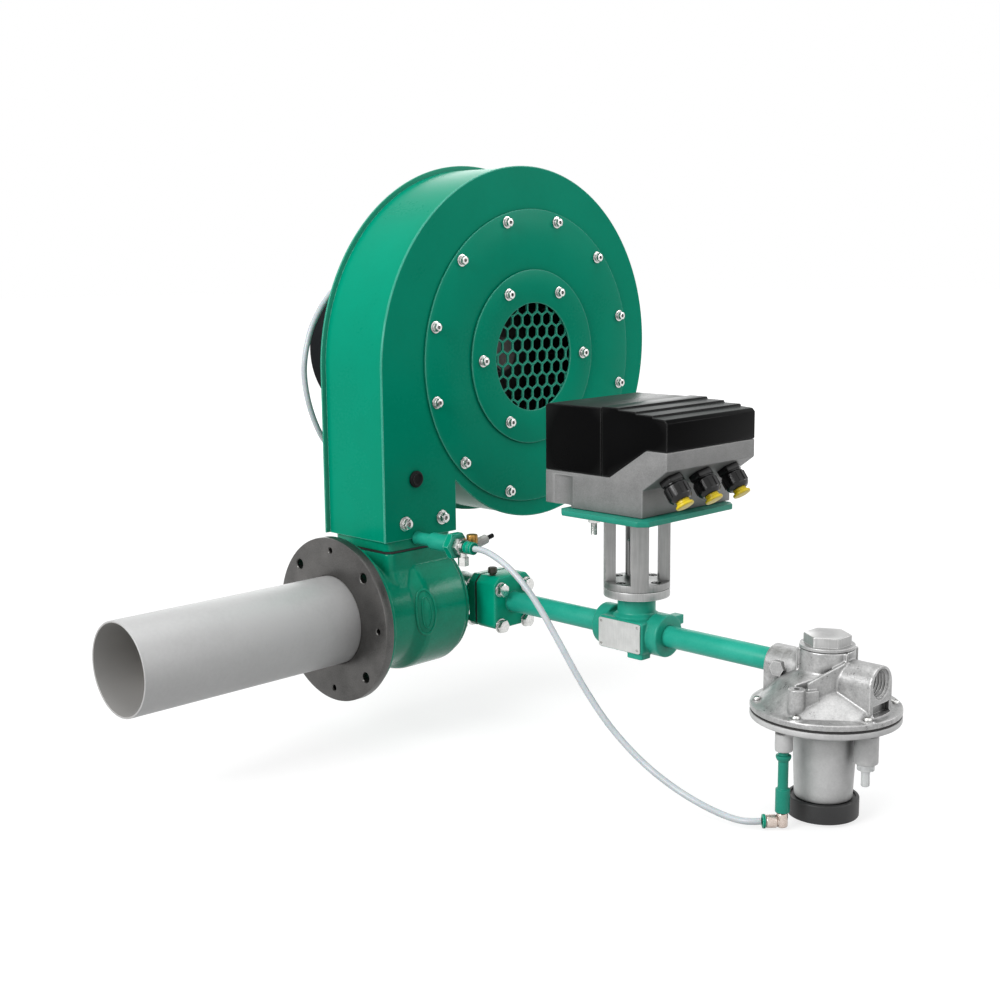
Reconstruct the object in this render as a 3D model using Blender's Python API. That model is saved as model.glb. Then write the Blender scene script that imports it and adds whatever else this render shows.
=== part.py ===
"""An industrial gas burner with its fan, gas valve, valve actuator and gas governor.

Metres, +Z up. The origin is on the flame tube's axis, at the front face of the mounting flange.
The flame tube points along -X, the fan draws air in through its -Y face, and the gas train runs
out along -Y from the rear housing to the governor.
"""

import math

import bmesh
import bpy
from mathutils import Vector

# Gap between two pieces that touch
SEAT = 0.0003
# Extra length of a cutting shape beyond the surface that it cuts
THROUGH = 0.01
# Turn of a round tool's corners, in degrees
ROD_TURN = 3.1

# Flame tube and mounting flange
TUBE_RADIUS = 0.04445
TUBE_WALL = 0.002
TUBE_LENGTH = 0.242
FLANGE_RADIUS = 0.083
FLANGE_THICKNESS = 0.010
WALL_BOLT_CIRCLE = 0.0705
WALL_BOLT_HOLE = 0.005
SCREW_CIRCLE = 0.071
SCREW_HOLE = 0.00275

# Cast burner body
BODY_FLANGE_RADIUS = 0.079
BODY_FLANGE_THICKNESS = 0.0065
NOSE_RADIUS = 0.0575
BARREL_RADIUS = 0.0655
BARREL_START = 0.070
BODY_LENGTH = 0.1157
BODY_WALL = 0.006
NECK_FRONT = 0.040
NECK_LENGTH = 0.0857
NECK_HALF_WIDTH = 0.042
NECK_RISE = 0.0003
NECK_CORNER = 0.008

# Gasket and adapter between the neck and the fan duct
GASKET_THICKNESS = 0.0014
ADAPTER_HEIGHT = 0.0206
ADAPTER_FLARE = 0.0016

# Fan casing of sheet steel
DUCT_LEFT = 0.0361
DUCT_WIDTH = 0.094
DUCT_HEIGHT = 0.1613
CASING_HALF_DEPTH = 0.0439
SHEET = 0.002
FRONT_LIP = 0.0015
BACK_LIP = 0.005
SCROLL_START_RADIUS = 0.164
SCROLL_END_RADIUS = 0.2087
SCROLL_START_ANGLE = -125.0
SCROLL_GROWTH = 0.9
CASING_MOUTH_RADIUS = 0.140

# Air inlet
COVER_RADIUS = 0.1544
COVER_MOUTH_RADIUS = 0.084
GUARD_RADIUS = 0.080
INLET_RING_RADIUS = 0.0918
INLET_MOUTH_RADIUS = 0.0569
HONEYCOMB_PITCH = 0.015
HONEYCOMB_WALL = 0.002

# Fan wheel, motor shaft and motor
WHEEL_RADIUS = 0.130
WHEEL_WIDTH = 0.055
WHEEL_EYE_RADIUS = 0.070
WHEEL_SHEET = 0.0016
WHEEL_BLADES = 12
WHEEL_RUNNING_GAP = 0.0069
SHAFT_RADIUS = 0.012
SHAFT_RUNNING_GAP = 0.0006
MOTOR_FLANGE_RADIUS = 0.080
MOTOR_FLANGE_THICKNESS = 0.010
MOTOR_CORE_RADIUS = 0.067
MOTOR_FIN_RADIUS = 0.0795
MOTOR_FINS = 24
MOTOR_LENGTH = 0.108
COWL_RADIUS = 0.0826
COWL_LENGTH = 0.070
COWL_WALL = 0.0018
COOLING_FAN_RADIUS = 0.066
TERMINAL_BOX_WIDTH = 0.074
TERMINAL_BOX_DEPTH = 0.060
TERMINAL_BOX_HEIGHT = 0.040

# Rear gas housing and what it carries inside the flame tube
HOUSING_RIM_RADIUS = 0.0625
HOUSING_RIM_THICKNESS = 0.005
HOUSING_FILLET = 0.006
ELBOW_RADIUS = 0.0205
ELBOW_NECK_RADIUS = 0.0197
BOSS_REACH = 0.0492
BOSS_THICKNESS = 0.009
BLOCK_HALF_WIDTH = 0.027
BLOCK_TOP = 0.0283
BLOCK_BOTTOM = 0.0265
BLOCK_CHAMFER = 0.007
BLOCK_CORNER = 0.0035
BLOCK_LENGTH = 0.0278
KNOB_OFFSET = 0.0161
KNOB_RADIUS = 0.0048
KNOB_HEIGHT = 0.0085
TRAIN_OFFSET = 0.0522
LANCE_RADIUS = 0.0086
LANCE_WALL = 0.002
LANCE_SOCKET = 0.020
NOZZLE_RADIUS = 0.015
NOZZLE_LENGTH = 0.014
SWIRL_PLATE_DEPTH = 0.050
SWIRL_PLATE_THICKNESS = 0.002
SWIRL_PLATE_GAP = 0.0007
ELECTRODE_RADIUS = 0.004
ELECTRODE_SPREAD = 0.020
ELECTRODE_RISE = 0.014

# Gas pipes and butterfly valve
PIPE_RADIUS = 0.0105
PIPE_WALL = 0.0025
PIPE_ENTRY = 0.008
INNER_PIPE_RUN = 0.127
OUTER_PIPE_RUN = 0.120
VALVE_HALF_WIDTH = 0.0252
VALVE_LENGTH = 0.054
VALVE_TOP = 0.0145
VALVE_BOTTOM = 0.017
COLLAR_RADIUS = 0.0205
COLLAR_LENGTH = 0.013
COLLAR_ENTRY = 0.0026
COLLAR_CHAMFER = 0.0018
VALVE_CORNER = 0.004
VALVE_BORE = 0.0085
FOOT_OUTER = 0.0238
FOOT_INNER = 0.0092
FOOT_START = 0.0008
FOOT_END = 0.0198
FOOT_HEIGHT = 0.005
LUG_INNER = 0.0043
LUG_STAND = 0.003
LUG_START = 0.0006
LUG_END = 0.0115
LUG_BOTTOM = 0.0082
LUG_TOP = 0.0172
DISC_RUNNING_GAP = 0.0004
SPINDLE_RADIUS = 0.003
SPINDLE_END = 0.0125
NECK_FLARE = 0.004
VALVE_NECK_RADIUS = 0.0184
VALVE_NECK_TOP = 0.0343

# Stack that carries the actuator on the valve
SPACER_RADIUS = 0.032
SPACER_THICKNESS = 0.0079
YOKE_FLANGE_THICKNESS = 0.0067
YOKE_HEIGHT = 0.076
POST_WIDTH = 0.017
POST_DEPTH = 0.010
COUPLING_RADIUS = 0.009
PLATE_THICKNESS = 0.0054
PLATE_LEFT = 0.0782
PLATE_RIGHT = 0.0618
PLATE_FRONT = 0.072
PLATE_REAR = 0.034
PLATE_CORNER = 0.008
STUD_PLACE = (-0.0632, -0.0007)
STUD_RADIUS = 0.003
STUD_LENGTH = 0.0165

# Actuator, as offsets from the valve's spindle
ACTUATOR_HALF_WIDTH = 0.0658
ACTUATOR_FRONT = 0.0875
ACTUATOR_REAR = 0.058
BASE_FOOT_FRONT = 0.060
BASE_FOOT_REAR = 0.027
BASE_SLANT_LOW = 0.0252
BASE_SLANT_HIGH = 0.0452
BASE_SIDE_HEIGHT = 0.0337
BASE_FRONT_HEIGHT = 0.062
COVER_TOP = 0.098
COVER_STEP = 0.0021
COVER_SPLIT = 0.0115
GLAND_RADIUS = 0.012
GLAND_PITCH = 0.0427

# Gas governor
GOVERNOR_RADIUS = 0.0655
GOVERNOR_OUTLET_REACH = 0.0535
GOVERNOR_INLET_REACH = 0.0539
PORT_BOSS_HALF_WIDTH = 0.0178
PORT_BOSS_TOP = 0.0158
UPPER_FLANGE_BOTTOM = -0.033
FLANGE_PLATE = 0.0055
DIAPHRAGM_GASKET = 0.001
TOWER_RADIUS = 0.0243
TOWER_TOP = 0.0227
CONE_RADIUS = 0.040
CONE_TOP = -0.006
RIB_THICKNESS = 0.0033
RIB_START = (-0.040, -0.007)
RIB_END = (-0.010, -0.0245)
RIB_START_TOP = 0.0
RIB_END_TOP = 0.0155
FIN_STAND = 0.0026
FIN_THICKNESS = 0.003
FIN_BOTTOM = -0.010
SIDE_BOSS_PLACE = (-0.050, -0.003)
SIDE_BOSS_RADIUS = 0.0074
SIDE_BOSS_TOP = -0.0035
SIDE_BOSS_HOLE = 0.0025
SIDE_PLUG_OFFSET = 0.0375
SIDE_PLUG_RADIUS = 0.008
SIDE_PLUG_STAND = 0.0035
PORT_RADIUS = 0.0132
PORT_DEPTH = 0.027
CHAMBER_RADIUS = 0.017
DIAPHRAGM_CHAMBER_RADIUS = 0.050
VALVE_SEAT_RADIUS = 0.009
DIAPHRAGM_TRAVEL = 0.004
BOWL_TOP_RADIUS = 0.0281
BOWL_END_RADIUS = 0.0253
BOWL_BORE = 0.0225
BOWL_BOTTOM = -0.112
DROP_BOSS_RADIUS = 0.0077
DROP_BOSS_BOTTOM = -0.060
BREATHER_BOSS_RADIUS = 0.0105
BREATHER_BOSS_BOTTOM = -0.0727
CAP_RING_RADIUS = 0.0313
CAP_LIP_BORE = 0.0283
CAP_LIP_HEIGHT = 0.0013
CAP_RING_HEIGHT = 0.0174
SPRING_RADIUS = 0.014
SPRING_WIRE = 0.0012
SPRING_TURNS = 6
ADJUSTER_HEIGHT = -0.0953
HEX_CAP_RADIUS = 0.0207
HEX_CAP_HEIGHT = 0.0115
HEX_CAP_TURN = 58.0
HEX_COLLAR_HEIGHT = 0.0032
DIAPHRAGM_PLATE_RADIUS = 0.044

# Taps, fittings and hoses
TAP_X = 0.077
TAP_Z = 0.0780
TAP_NUT_RADIUS = 0.0138
TAP_NUT_START = 0.096
TAP_NUT_END = 0.1036
TAP_CROSS_RADIUS = 0.0068
TAP_CROSS_END = 0.115
TAP_ARM_REACH = 0.1107
TAP_ARM_RADIUS = 0.0042
HOSE_RADIUS = 0.003
IMPULSE_LINE_RADIUS = 0.0045
IMPULSE_LINE_OFFSET = (-0.0517, 0.0075)
BREATHER_OFFSET = 0.0415
PUSH_IN_RADIUS = 0.0062

# Places that follow from the sizes above
BODY_FRONT = FLANGE_THICKNESS + SEAT
BODY_END = BODY_FRONT + BODY_LENGTH
NECK_REAR = NECK_FRONT + NECK_LENGTH
NECK_TOP = BARREL_RADIUS + NECK_RISE
GASKET_BOTTOM = NECK_TOP + SEAT
ADAPTER_BOTTOM = GASKET_BOTTOM + GASKET_THICKNESS + SEAT
ADAPTER_TOP = ADAPTER_BOTTOM + ADAPTER_HEIGHT
DUCT_BOTTOM = ADAPTER_TOP + SEAT
DUCT_RIGHT = DUCT_LEFT + DUCT_WIDTH
FAN_X = DUCT_LEFT + SCROLL_END_RADIUS
FAN_Z = DUCT_BOTTOM + DUCT_HEIGHT
FAN_CENTRE = (FAN_X, 0.0, FAN_Z)
COVER_BACK = CASING_HALF_DEPTH + SEAT
RING_BACK = COVER_BACK + SHEET + SEAT
BACK_PLATE_INNER = CASING_HALF_DEPTH + SEAT
BACK_PLATE_OUTER = BACK_PLATE_INNER + SHEET
MOTOR_FLANGE_START = BACK_PLATE_OUTER + SEAT
MOTOR_START = MOTOR_FLANGE_START + MOTOR_FLANGE_THICKNESS + SEAT
MOTOR_END = MOTOR_START + MOTOR_LENGTH
COWL_START = MOTOR_END + SEAT
COWL_END = COWL_START + COWL_LENGTH
TRAIN_X = BODY_END + TRAIN_OFFSET
HOUSING_START = BODY_END + SEAT
SWIRL_PLATE_X = -TUBE_LENGTH + SWIRL_PLATE_DEPTH
BLOCK_GASKET_START = BOSS_REACH + SEAT
BLOCK_START = BLOCK_GASKET_START + GASKET_THICKNESS + SEAT
BLOCK_END = BLOCK_START + BLOCK_LENGTH
VALVE_START = BLOCK_END + INNER_PIPE_RUN
VALVE_Y = -(VALVE_START + COLLAR_LENGTH + VALVE_LENGTH / 2)
VALVE_END = VALVE_START + 2 * COLLAR_LENGTH + VALVE_LENGTH
GOVERNOR_Y = -(VALVE_END + OUTER_PIPE_RUN + GOVERNOR_OUTLET_REACH)
SPACER_BOTTOM = VALVE_NECK_TOP + SEAT
YOKE_BOTTOM = SPACER_BOTTOM + SPACER_THICKNESS + SEAT
YOKE_TOP = YOKE_BOTTOM + YOKE_HEIGHT
PLATE_BOTTOM = YOKE_TOP + SEAT
BASE_BOTTOM = PLATE_BOTTOM + PLATE_THICKNESS + SEAT
LOWER_FLANGE_TOP = UPPER_FLANGE_BOTTOM - DIAPHRAGM_GASKET - 2 * SEAT
CAP_LEDGE = BOWL_BOTTOM - SEAT

# Turns that lay a shape's own z along the burner's axis, along -Y or along +Y
ALONG_X = (math.radians(90), 0.0, math.radians(90))
ALONG_FRONT = (math.radians(90), 0.0, 0.0)
ALONG_REAR = (math.radians(-90), 0.0, 0.0)
UPRIGHT = (0.0, 0.0, 0.0)

# Finishes: colour, roughness and metallic value
GREEN_PAINT = ((0.0, 0.29, 0.17, 1.0), 0.38, 0.0)
PALE_GREEN_PAINT = ((0.02, 0.36, 0.23, 1.0), 0.42, 0.0)
TUBE_METAL = ((0.55, 0.55, 0.54, 1.0), 0.50, 0.6)
DARK_STEEL = ((0.20, 0.19, 0.18, 1.0), 0.35, 0.9)
ZINC = ((0.62, 0.62, 0.58, 1.0), 0.35, 0.9)
CAST_ALUMINIUM = ((0.46, 0.46, 0.46, 1.0), 0.42, 0.8)
BLACK_PLASTIC = ((0.02, 0.02, 0.022, 1.0), 0.45, 0.0)
MOTOR_BLACK = ((0.035, 0.037, 0.04, 1.0), 0.50, 0.2)
BLACK_RUBBER = ((0.012, 0.012, 0.012, 1.0), 0.70, 0.0)
HOSE_WHITE = ((0.72, 0.75, 0.77, 1.0), 0.35, 0.0)
BRASS = ((0.62, 0.42, 0.20, 1.0), 0.35, 0.9)
CERAMIC = ((0.80, 0.78, 0.72, 1.0), 0.40, 0.0)
CLEAR_PLASTIC = ((0.85, 0.86, 0.86, 1.0), 0.25, 0.0)


def turned(profile, sides=32):
    """A closed mesh turned about z from (radius, height) points.

    A profile that starts and ends on the axis is solid, and any other is closed into a ring.
    """
    shape = bmesh.new()
    rows = []
    for radius, height in profile:
        if radius == 0.0:
            rows.append([shape.verts.new((0.0, 0.0, height))])
            continue
        row = []
        for side in range(sides):
            angle = math.tau * side / sides
            row.append(shape.verts.new((radius * math.cos(angle), radius * math.sin(angle), height)))
        rows.append(row)
    pairs = list(zip(rows, rows[1:]))
    if len(rows[0]) > 1 and len(rows[-1]) > 1:
        pairs.append((rows[-1], rows[0]))
    for first, second in pairs:
        for side in range(sides):
            after = (side + 1) % sides
            if len(first) == 1:
                shape.faces.new((first[0], second[side], second[after]))
            elif len(second) == 1:
                shape.faces.new((first[side], first[after], second[0]))
            else:
                shape.faces.new((first[side], first[after], second[after], second[side]))
    return facing_out(shape)


def facing_out(shape):
    """The same mesh with every face pointing out."""
    bmesh.ops.recalc_face_normals(shape, faces=shape.faces)
    if shape.calc_volume(signed=True) < 0:
        bmesh.ops.reverse_faces(shape, faces=shape.faces)
    return shape


def lofted(lower, low, upper, high):
    """A closed mesh between two outlines with as many points each."""
    shape = bmesh.new()
    bottom = [shape.verts.new((x, y, low)) for x, y in lower]
    top = [shape.verts.new((x, y, high)) for x, y in upper]
    shape.faces.new(bottom)
    shape.faces.new(top)
    for index in range(len(bottom)):
        after = (index + 1) % len(bottom)
        shape.faces.new((bottom[index], bottom[after], top[after], top[index]))
    return facing_out(shape)


def drawn(outline, low, high):
    """A closed mesh of one outline, drawn out from low to high along z."""
    return lofted(outline, low, outline, high)


def collected(shapes):
    """Several closed meshes that lie apart, held in one mesh as one tool."""
    everything = bmesh.new()
    for shape in shapes:
        mesh = bpy.data.meshes.new("tool")
        shape.to_mesh(mesh)
        shape.free()
        everything.from_mesh(mesh)
        bpy.data.meshes.remove(mesh)
    return everything


def rods(centres, radius, low, high, sides=16):
    """Round rods along z at each centre."""
    return collected([rod(radius, low, high, sides, centre) for centre in centres])


def rod(radius, low, high, sides=24, centre=(0.0, 0.0)):
    """A round rod along z, turned so that its corners lie off those of the piece that it meets."""
    return drawn(polygon(sides, radius, centre, ROD_TURN), low, high)


def polygon(sides, radius, centre=(0.0, 0.0), turn=0.0):
    """The corners of a regular polygon."""
    corners = []
    for side in range(sides):
        angle = math.radians(turn) + math.tau * side / sides
        corners.append((centre[0] + radius * math.cos(angle), centre[1] + radius * math.sin(angle)))
    return corners


def on_circle(count, radius, first=0.0):
    """Evenly spaced centres on a circle, from an angle in degrees."""
    return polygon(count, radius, turn=first)


def rectangle(left, right, bottom, top):
    return [(left, bottom), (right, bottom), (right, top), (left, top)]


def rounded_rectangle(left, right, bottom, top, radius, steps=4):
    """A rectangle whose corners are arcs."""
    centres = [
        (right - radius, bottom + radius, -90),
        (right - radius, top - radius, 0),
        (left + radius, top - radius, 90),
        (left + radius, bottom + radius, 180),
    ]
    outline = []
    for x, y, first in centres:
        for step in range(steps + 1):
            angle = math.radians(first + 90 * step / steps)
            outline.append((x + radius * math.cos(angle), y + radius * math.sin(angle)))
    return outline


def chamfered_rectangle(left, right, bottom, top, chamfer):
    """A rectangle with its corners cut off."""
    return rounded_rectangle(left, right, bottom, top, chamfer, steps=1)


def finish_material(name, finish):
    colour, roughness, metallic = finish
    material = bpy.data.materials.new(name)
    material.use_nodes = True
    shader = material.node_tree.nodes["Principled BSDF"]
    shader.inputs["Base Color"].default_value = colour
    shader.inputs["Roughness"].default_value = roughness
    shader.inputs["Metallic"].default_value = metallic
    material.diffuse_color = colour
    return material


def as_object(name, shape, at, turn):
    mesh = bpy.data.meshes.new(name)
    shape.to_mesh(mesh)
    shape.free()
    thing = bpy.data.objects.new(name, mesh)
    bpy.context.scene.collection.objects.link(thing)
    thing.location = at
    thing.rotation_euler = turn
    return thing


def part(name, shape, finish, at=(0.0, 0.0, 0.0), turn=UPRIGHT):
    """One sub-part, with its own material, shaded smooth between its sharp edges."""
    thing = as_object(name, shape, at, turn)
    thing.data.materials.append(finish_material(name, finish))
    thing.data.shade_smooth()
    thing.data.set_sharp_from_angle(angle=math.radians(35))
    return thing


def combine(thing, shape, operation, at=None, turn=None):
    """Joins a hidden tool to a sub-part, or cuts it away, in the sub-part's own frame unless told."""
    place = thing.location if at is None else at
    rotation = thing.rotation_euler if turn is None else turn
    tool = as_object(thing.name + "_tool", shape, place, rotation)
    tool.hide_render = True
    tool.display_type = "WIRE"
    modifier = thing.modifiers.new(operation.lower(), "BOOLEAN")
    modifier.operation = operation
    modifier.object = tool


def cut(thing, shape, at=None, turn=None):
    combine(thing, shape, "DIFFERENCE", at, turn)


def fuse(thing, shape, at=None, turn=None):
    combine(thing, shape, "UNION", at, turn)


def soften(thing, width, segments=2):
    """Rounds the sharp edges that the sub-part has so far."""
    modifier = thing.modifiers.new("soften", "BEVEL")
    modifier.width = width
    modifier.segments = segments
    modifier.limit_method = "ANGLE"
    modifier.angle_limit = math.radians(40)


def smooth_route(points, spacing):
    """Evenly spaced points on a Catmull-Rom curve through the route's own points."""
    points = [Vector(point) for point in points]
    before = 2 * points[0] - points[1]
    after = 2 * points[-1] - points[-2]
    held = [before] + points + [after]
    steps = 24
    fine = []
    for a, b, c, d in zip(held, held[1:], held[2:], held[3:]):
        for step in range(steps):
            t = step / steps
            cubic = (3 * b - a - 3 * c + d) * t**3
            square = (2 * a - 5 * b + 4 * c - d) * t**2
            fine.append(0.5 * (2 * b + (c - a) * t + square + cubic))
    fine.append(points[-1])
    lengths = [0.0]
    for first, second in zip(fine, fine[1:]):
        lengths.append(lengths[-1] + (second - first).length)
    count = max(2, round(lengths[-1] / spacing))
    route = []
    index = 0
    for step in range(count + 1):
        wanted = lengths[-1] * step / count
        while index < len(fine) - 2 and lengths[index + 1] < wanted:
            index += 1
        span = lengths[index + 1] - lengths[index]
        route.append(fine[index].lerp(fine[index + 1], (wanted - lengths[index]) / span))
    return route


def swept(name, route, radius, finish, resolution, at=(0.0, 0.0, 0.0)):
    """A round tube of one radius along the route."""
    curve = bpy.data.curves.new(name, "CURVE")
    curve.dimensions = "3D"
    curve.bevel_depth = radius
    curve.bevel_resolution = resolution
    curve.use_fill_caps = True
    spline = curve.splines.new("POLY")
    spline.points.add(len(route) - 1)
    for place, point in zip(spline.points, route):
        place.co = (point[0], point[1], point[2], 1.0)
    curve.materials.append(finish_material(name, finish))
    thing = bpy.data.objects.new(name, curve)
    thing.location = at
    bpy.context.scene.collection.objects.link(thing)
    return thing


def flame_tube():
    """Steel tube that carries the flame into the furnace."""
    inner = TUBE_RADIUS - TUBE_WALL
    profile = [
        (TUBE_RADIUS, -TUBE_LENGTH),
        (TUBE_RADIUS, FLANGE_THICKNESS),
        (inner, FLANGE_THICKNESS),
        (inner, -TUBE_LENGTH),
    ]
    part("flame_tube", turned(profile, 40), TUBE_METAL, turn=ALONG_X)


def mounting_flange():
    """Steel ring that bolts the burner to the furnace wall."""
    bore = TUBE_RADIUS + SEAT
    profile = [(FLANGE_RADIUS, 0.0), (FLANGE_RADIUS, FLANGE_THICKNESS), (bore, FLANGE_THICKNESS), (bore, 0.0)]
    flange = part("mounting_flange", turned(profile, 48), DARK_STEEL, turn=ALONG_X)
    high = FLANGE_THICKNESS + THROUGH
    cut(flange, rods(on_circle(4, WALL_BOLT_CIRCLE, 45), WALL_BOLT_HOLE, -THROUGH, high, 12))
    cut(flange, rods(on_circle(4, SCREW_CIRCLE), SCREW_HOLE, -THROUGH, high, 8))


def neck_outline(inset):
    """The neck's plan, in the body's frame where x is across and y is along the burner."""
    return rounded_rectangle(
        NECK_FRONT + inset,
        NECK_REAR - inset,
        -NECK_HALF_WIDTH + inset,
        NECK_HALF_WIDTH - inset,
        max(NECK_CORNER - inset, 0.001),
    )


def burner_body():
    """Hollow casting: a front flange, a nose, a fuller barrel, and a neck up to the fan."""
    flange_end = BODY_FRONT + BODY_FLANGE_THICKNESS
    outside = [
        (BODY_FLANGE_RADIUS, BODY_FRONT),
        (BODY_FLANGE_RADIUS, flange_end),
        (NOSE_RADIUS + 0.008, flange_end + 0.002),
        (NOSE_RADIUS + 0.0025, flange_end + 0.006),
        (NOSE_RADIUS, flange_end + 0.012),
        (NOSE_RADIUS, BARREL_START - 0.010),
        (NOSE_RADIUS + 0.3 * (BARREL_RADIUS - NOSE_RADIUS), BARREL_START - 0.005),
        (BARREL_RADIUS - 0.001, BARREL_START + 0.001),
        (BARREL_RADIUS, BARREL_START + 0.006),
        (BARREL_RADIUS, BODY_END - 0.003),
        (BARREL_RADIUS - 0.002, BODY_END),
    ]
    air_way = TUBE_RADIUS - TUBE_WALL
    inside = [
        (NOSE_RADIUS - BODY_WALL, BODY_END),
        (NOSE_RADIUS - BODY_WALL, BODY_FRONT + BODY_WALL + 0.006),
        (air_way, BODY_FRONT + BODY_WALL),
        (air_way, BODY_FRONT),
    ]
    body = part("burner_body", turned(outside + inside, 36), GREEN_PAINT, turn=ALONG_X)
    fuse(body, drawn(neck_outline(0.0), 0.8 * NOSE_RADIUS, NECK_TOP), turn=UPRIGHT)
    skirt_low = rounded_rectangle(NECK_FRONT, NECK_REAR - 0.004, -0.056, 0.056, NECK_CORNER)
    skirt_high = rounded_rectangle(NECK_FRONT, NECK_REAR - 0.004, -0.0425, 0.0425, NECK_CORNER)
    fuse(body, lofted(skirt_low, 0.012, skirt_high, 0.046), turn=UPRIGHT)
    cut(body, drawn(neck_outline(BODY_WALL), 0.0, NECK_TOP + THROUGH), turn=UPRIGHT)
    hollow = [
        (0.0, BODY_FRONT + BODY_WALL + 0.006),
        (NOSE_RADIUS - BODY_WALL - SEAT, BODY_FRONT + BODY_WALL + 0.006),
        (NOSE_RADIUS - BODY_WALL - SEAT, BODY_END + THROUGH),
        (0.0, BODY_END + THROUGH),
    ]
    cut(body, turned(hollow, 36))


def duct_gasket():
    """Thin seal between the neck and the adapter."""
    gasket = part("duct_gasket", drawn(neck_outline(0.0), GASKET_BOTTOM, GASKET_BOTTOM + GASKET_THICKNESS), BLACK_RUBBER)
    cut(gasket, drawn(neck_outline(BODY_WALL), 0.0, ADAPTER_TOP))


def duct_adapter():
    """Cast piece that widens from the neck to the fan duct."""
    adapter = part(
        "duct_adapter",
        lofted(neck_outline(0.0), ADAPTER_BOTTOM, neck_outline(-ADAPTER_FLARE), ADAPTER_TOP),
        GREEN_PAINT,
    )
    cut(adapter, drawn(neck_outline(BODY_WALL), 0.0, ADAPTER_TOP + THROUGH))


def scroll_radius(angle):
    """The casing's radius about the fan's axis, at an angle in degrees from +X."""
    opened = max(0.0, angle - SCROLL_START_ANGLE) / (180.0 - SCROLL_START_ANGLE)
    return SCROLL_START_RADIUS + (SCROLL_END_RADIUS - SCROLL_START_RADIUS) * opened**SCROLL_GROWTH


def scroll_outline(offset, bottom):
    """The casing's side view about the fan's axis, from the tongue round to the duct's open end."""
    right = DUCT_RIGHT - FAN_X + offset
    tongue = SCROLL_START_ANGLE
    for _ in range(8):
        tongue = -math.degrees(math.acos(right / (scroll_radius(tongue) + offset)))
    steps = 44
    outline = []
    for step in range(steps + 1):
        angle = tongue + (180.0 - tongue) * step / steps
        radius = scroll_radius(angle) + offset
        turn = math.radians(angle)
        outline.append((radius * math.cos(turn), radius * math.sin(turn)))
    low = bottom - FAN_Z
    outline.append((DUCT_LEFT - FAN_X - offset, low))
    outline.append((right, low))
    return outline


def fan_casing():
    """Scroll and duct in one: a wrap of sheet with the folded front plate."""
    front = CASING_HALF_DEPTH
    overlap = SHEET / 3
    wrap = drawn(scroll_outline(0.0, DUCT_BOTTOM), -CASING_HALF_DEPTH, front - SHEET + overlap)
    casing = part("fan_casing", wrap, GREEN_PAINT, FAN_CENTRE, ALONG_FRONT)
    fuse(casing, drawn(scroll_outline(FRONT_LIP, DUCT_BOTTOM), front - SHEET, front))
    hollow = scroll_outline(-SHEET, DUCT_BOTTOM - THROUGH)
    cut(casing, drawn(hollow, -CASING_HALF_DEPTH - THROUGH, front - SHEET))
    cut(casing, rod(CASING_MOUTH_RADIUS, 0.0, front + THROUGH, 48))


def fan_back_plate():
    """Flat back of the casing, with a lip that stands out past the wrap."""
    plate = part(
        "fan_back_plate",
        drawn(scroll_outline(BACK_LIP, DUCT_BOTTOM), -BACK_PLATE_OUTER, -BACK_PLATE_INNER),
        GREEN_PAINT,
        FAN_CENTRE,
        ALONG_FRONT,
    )
    cut(plate, rod(2 * SHAFT_RADIUS, -BACK_PLATE_OUTER - THROUGH, 0.0, 32))


def flat_ring(outer, inner, low, high):
    return [(outer, low), (outer, high), (inner, high), (inner, low)]


def air_inlet():
    """Cover, honeycomb guard and clamping ring over the casing's mouth."""
    cover = flat_ring(COVER_RADIUS, COVER_MOUTH_RADIUS, COVER_BACK, COVER_BACK + SHEET)
    part("inlet_cover", turned(cover, 48), GREEN_PAINT, FAN_CENTRE, ALONG_FRONT)
    ring = flat_ring(INLET_RING_RADIUS, INLET_MOUTH_RADIUS, RING_BACK, RING_BACK + SHEET)
    part("inlet_ring", turned(ring, 48), GREEN_PAINT, FAN_CENTRE, ALONG_FRONT)
    guard = part(
        "inlet_guard",
        drawn(polygon(48, GUARD_RADIUS), COVER_BACK, COVER_BACK + SHEET),
        GREEN_PAINT,
        FAN_CENTRE,
        ALONG_FRONT,
    )
    cell = (HONEYCOMB_PITCH - HONEYCOMB_WALL) / math.sqrt(3)
    cells = []
    rows = math.ceil(INLET_MOUTH_RADIUS / (HONEYCOMB_PITCH * 0.866)) + 1
    for row in range(-rows, rows + 1):
        for column in range(-rows, rows + 1):
            centre = ((column + 0.5 * (row % 2)) * HONEYCOMB_PITCH, row * HONEYCOMB_PITCH * 0.866)
            if math.hypot(*centre) < INLET_MOUTH_RADIUS + HONEYCOMB_PITCH / 3:
                cells.append(drawn(polygon(6, cell, centre, 90), COVER_BACK - THROUGH, COVER_BACK + THROUGH))
    cut(guard, collected(cells))


def blade_outline(inner, outer, sweep, thickness, turn):
    """A fan blade seen along its axis, from one radius to another, leaning back as it goes out."""
    steps = 2 if sweep else 1
    near = []
    far = []
    for step in range(steps + 1):
        share = step / steps
        radius = inner + (outer - inner) * share
        angle = math.radians(turn - sweep * share)
        half = thickness / 2 / radius
        near.append((radius * math.cos(angle - half), radius * math.sin(angle - half)))
        far.append((radius * math.cos(angle + half), radius * math.sin(angle + half)))
    return near + far[::-1]


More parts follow.
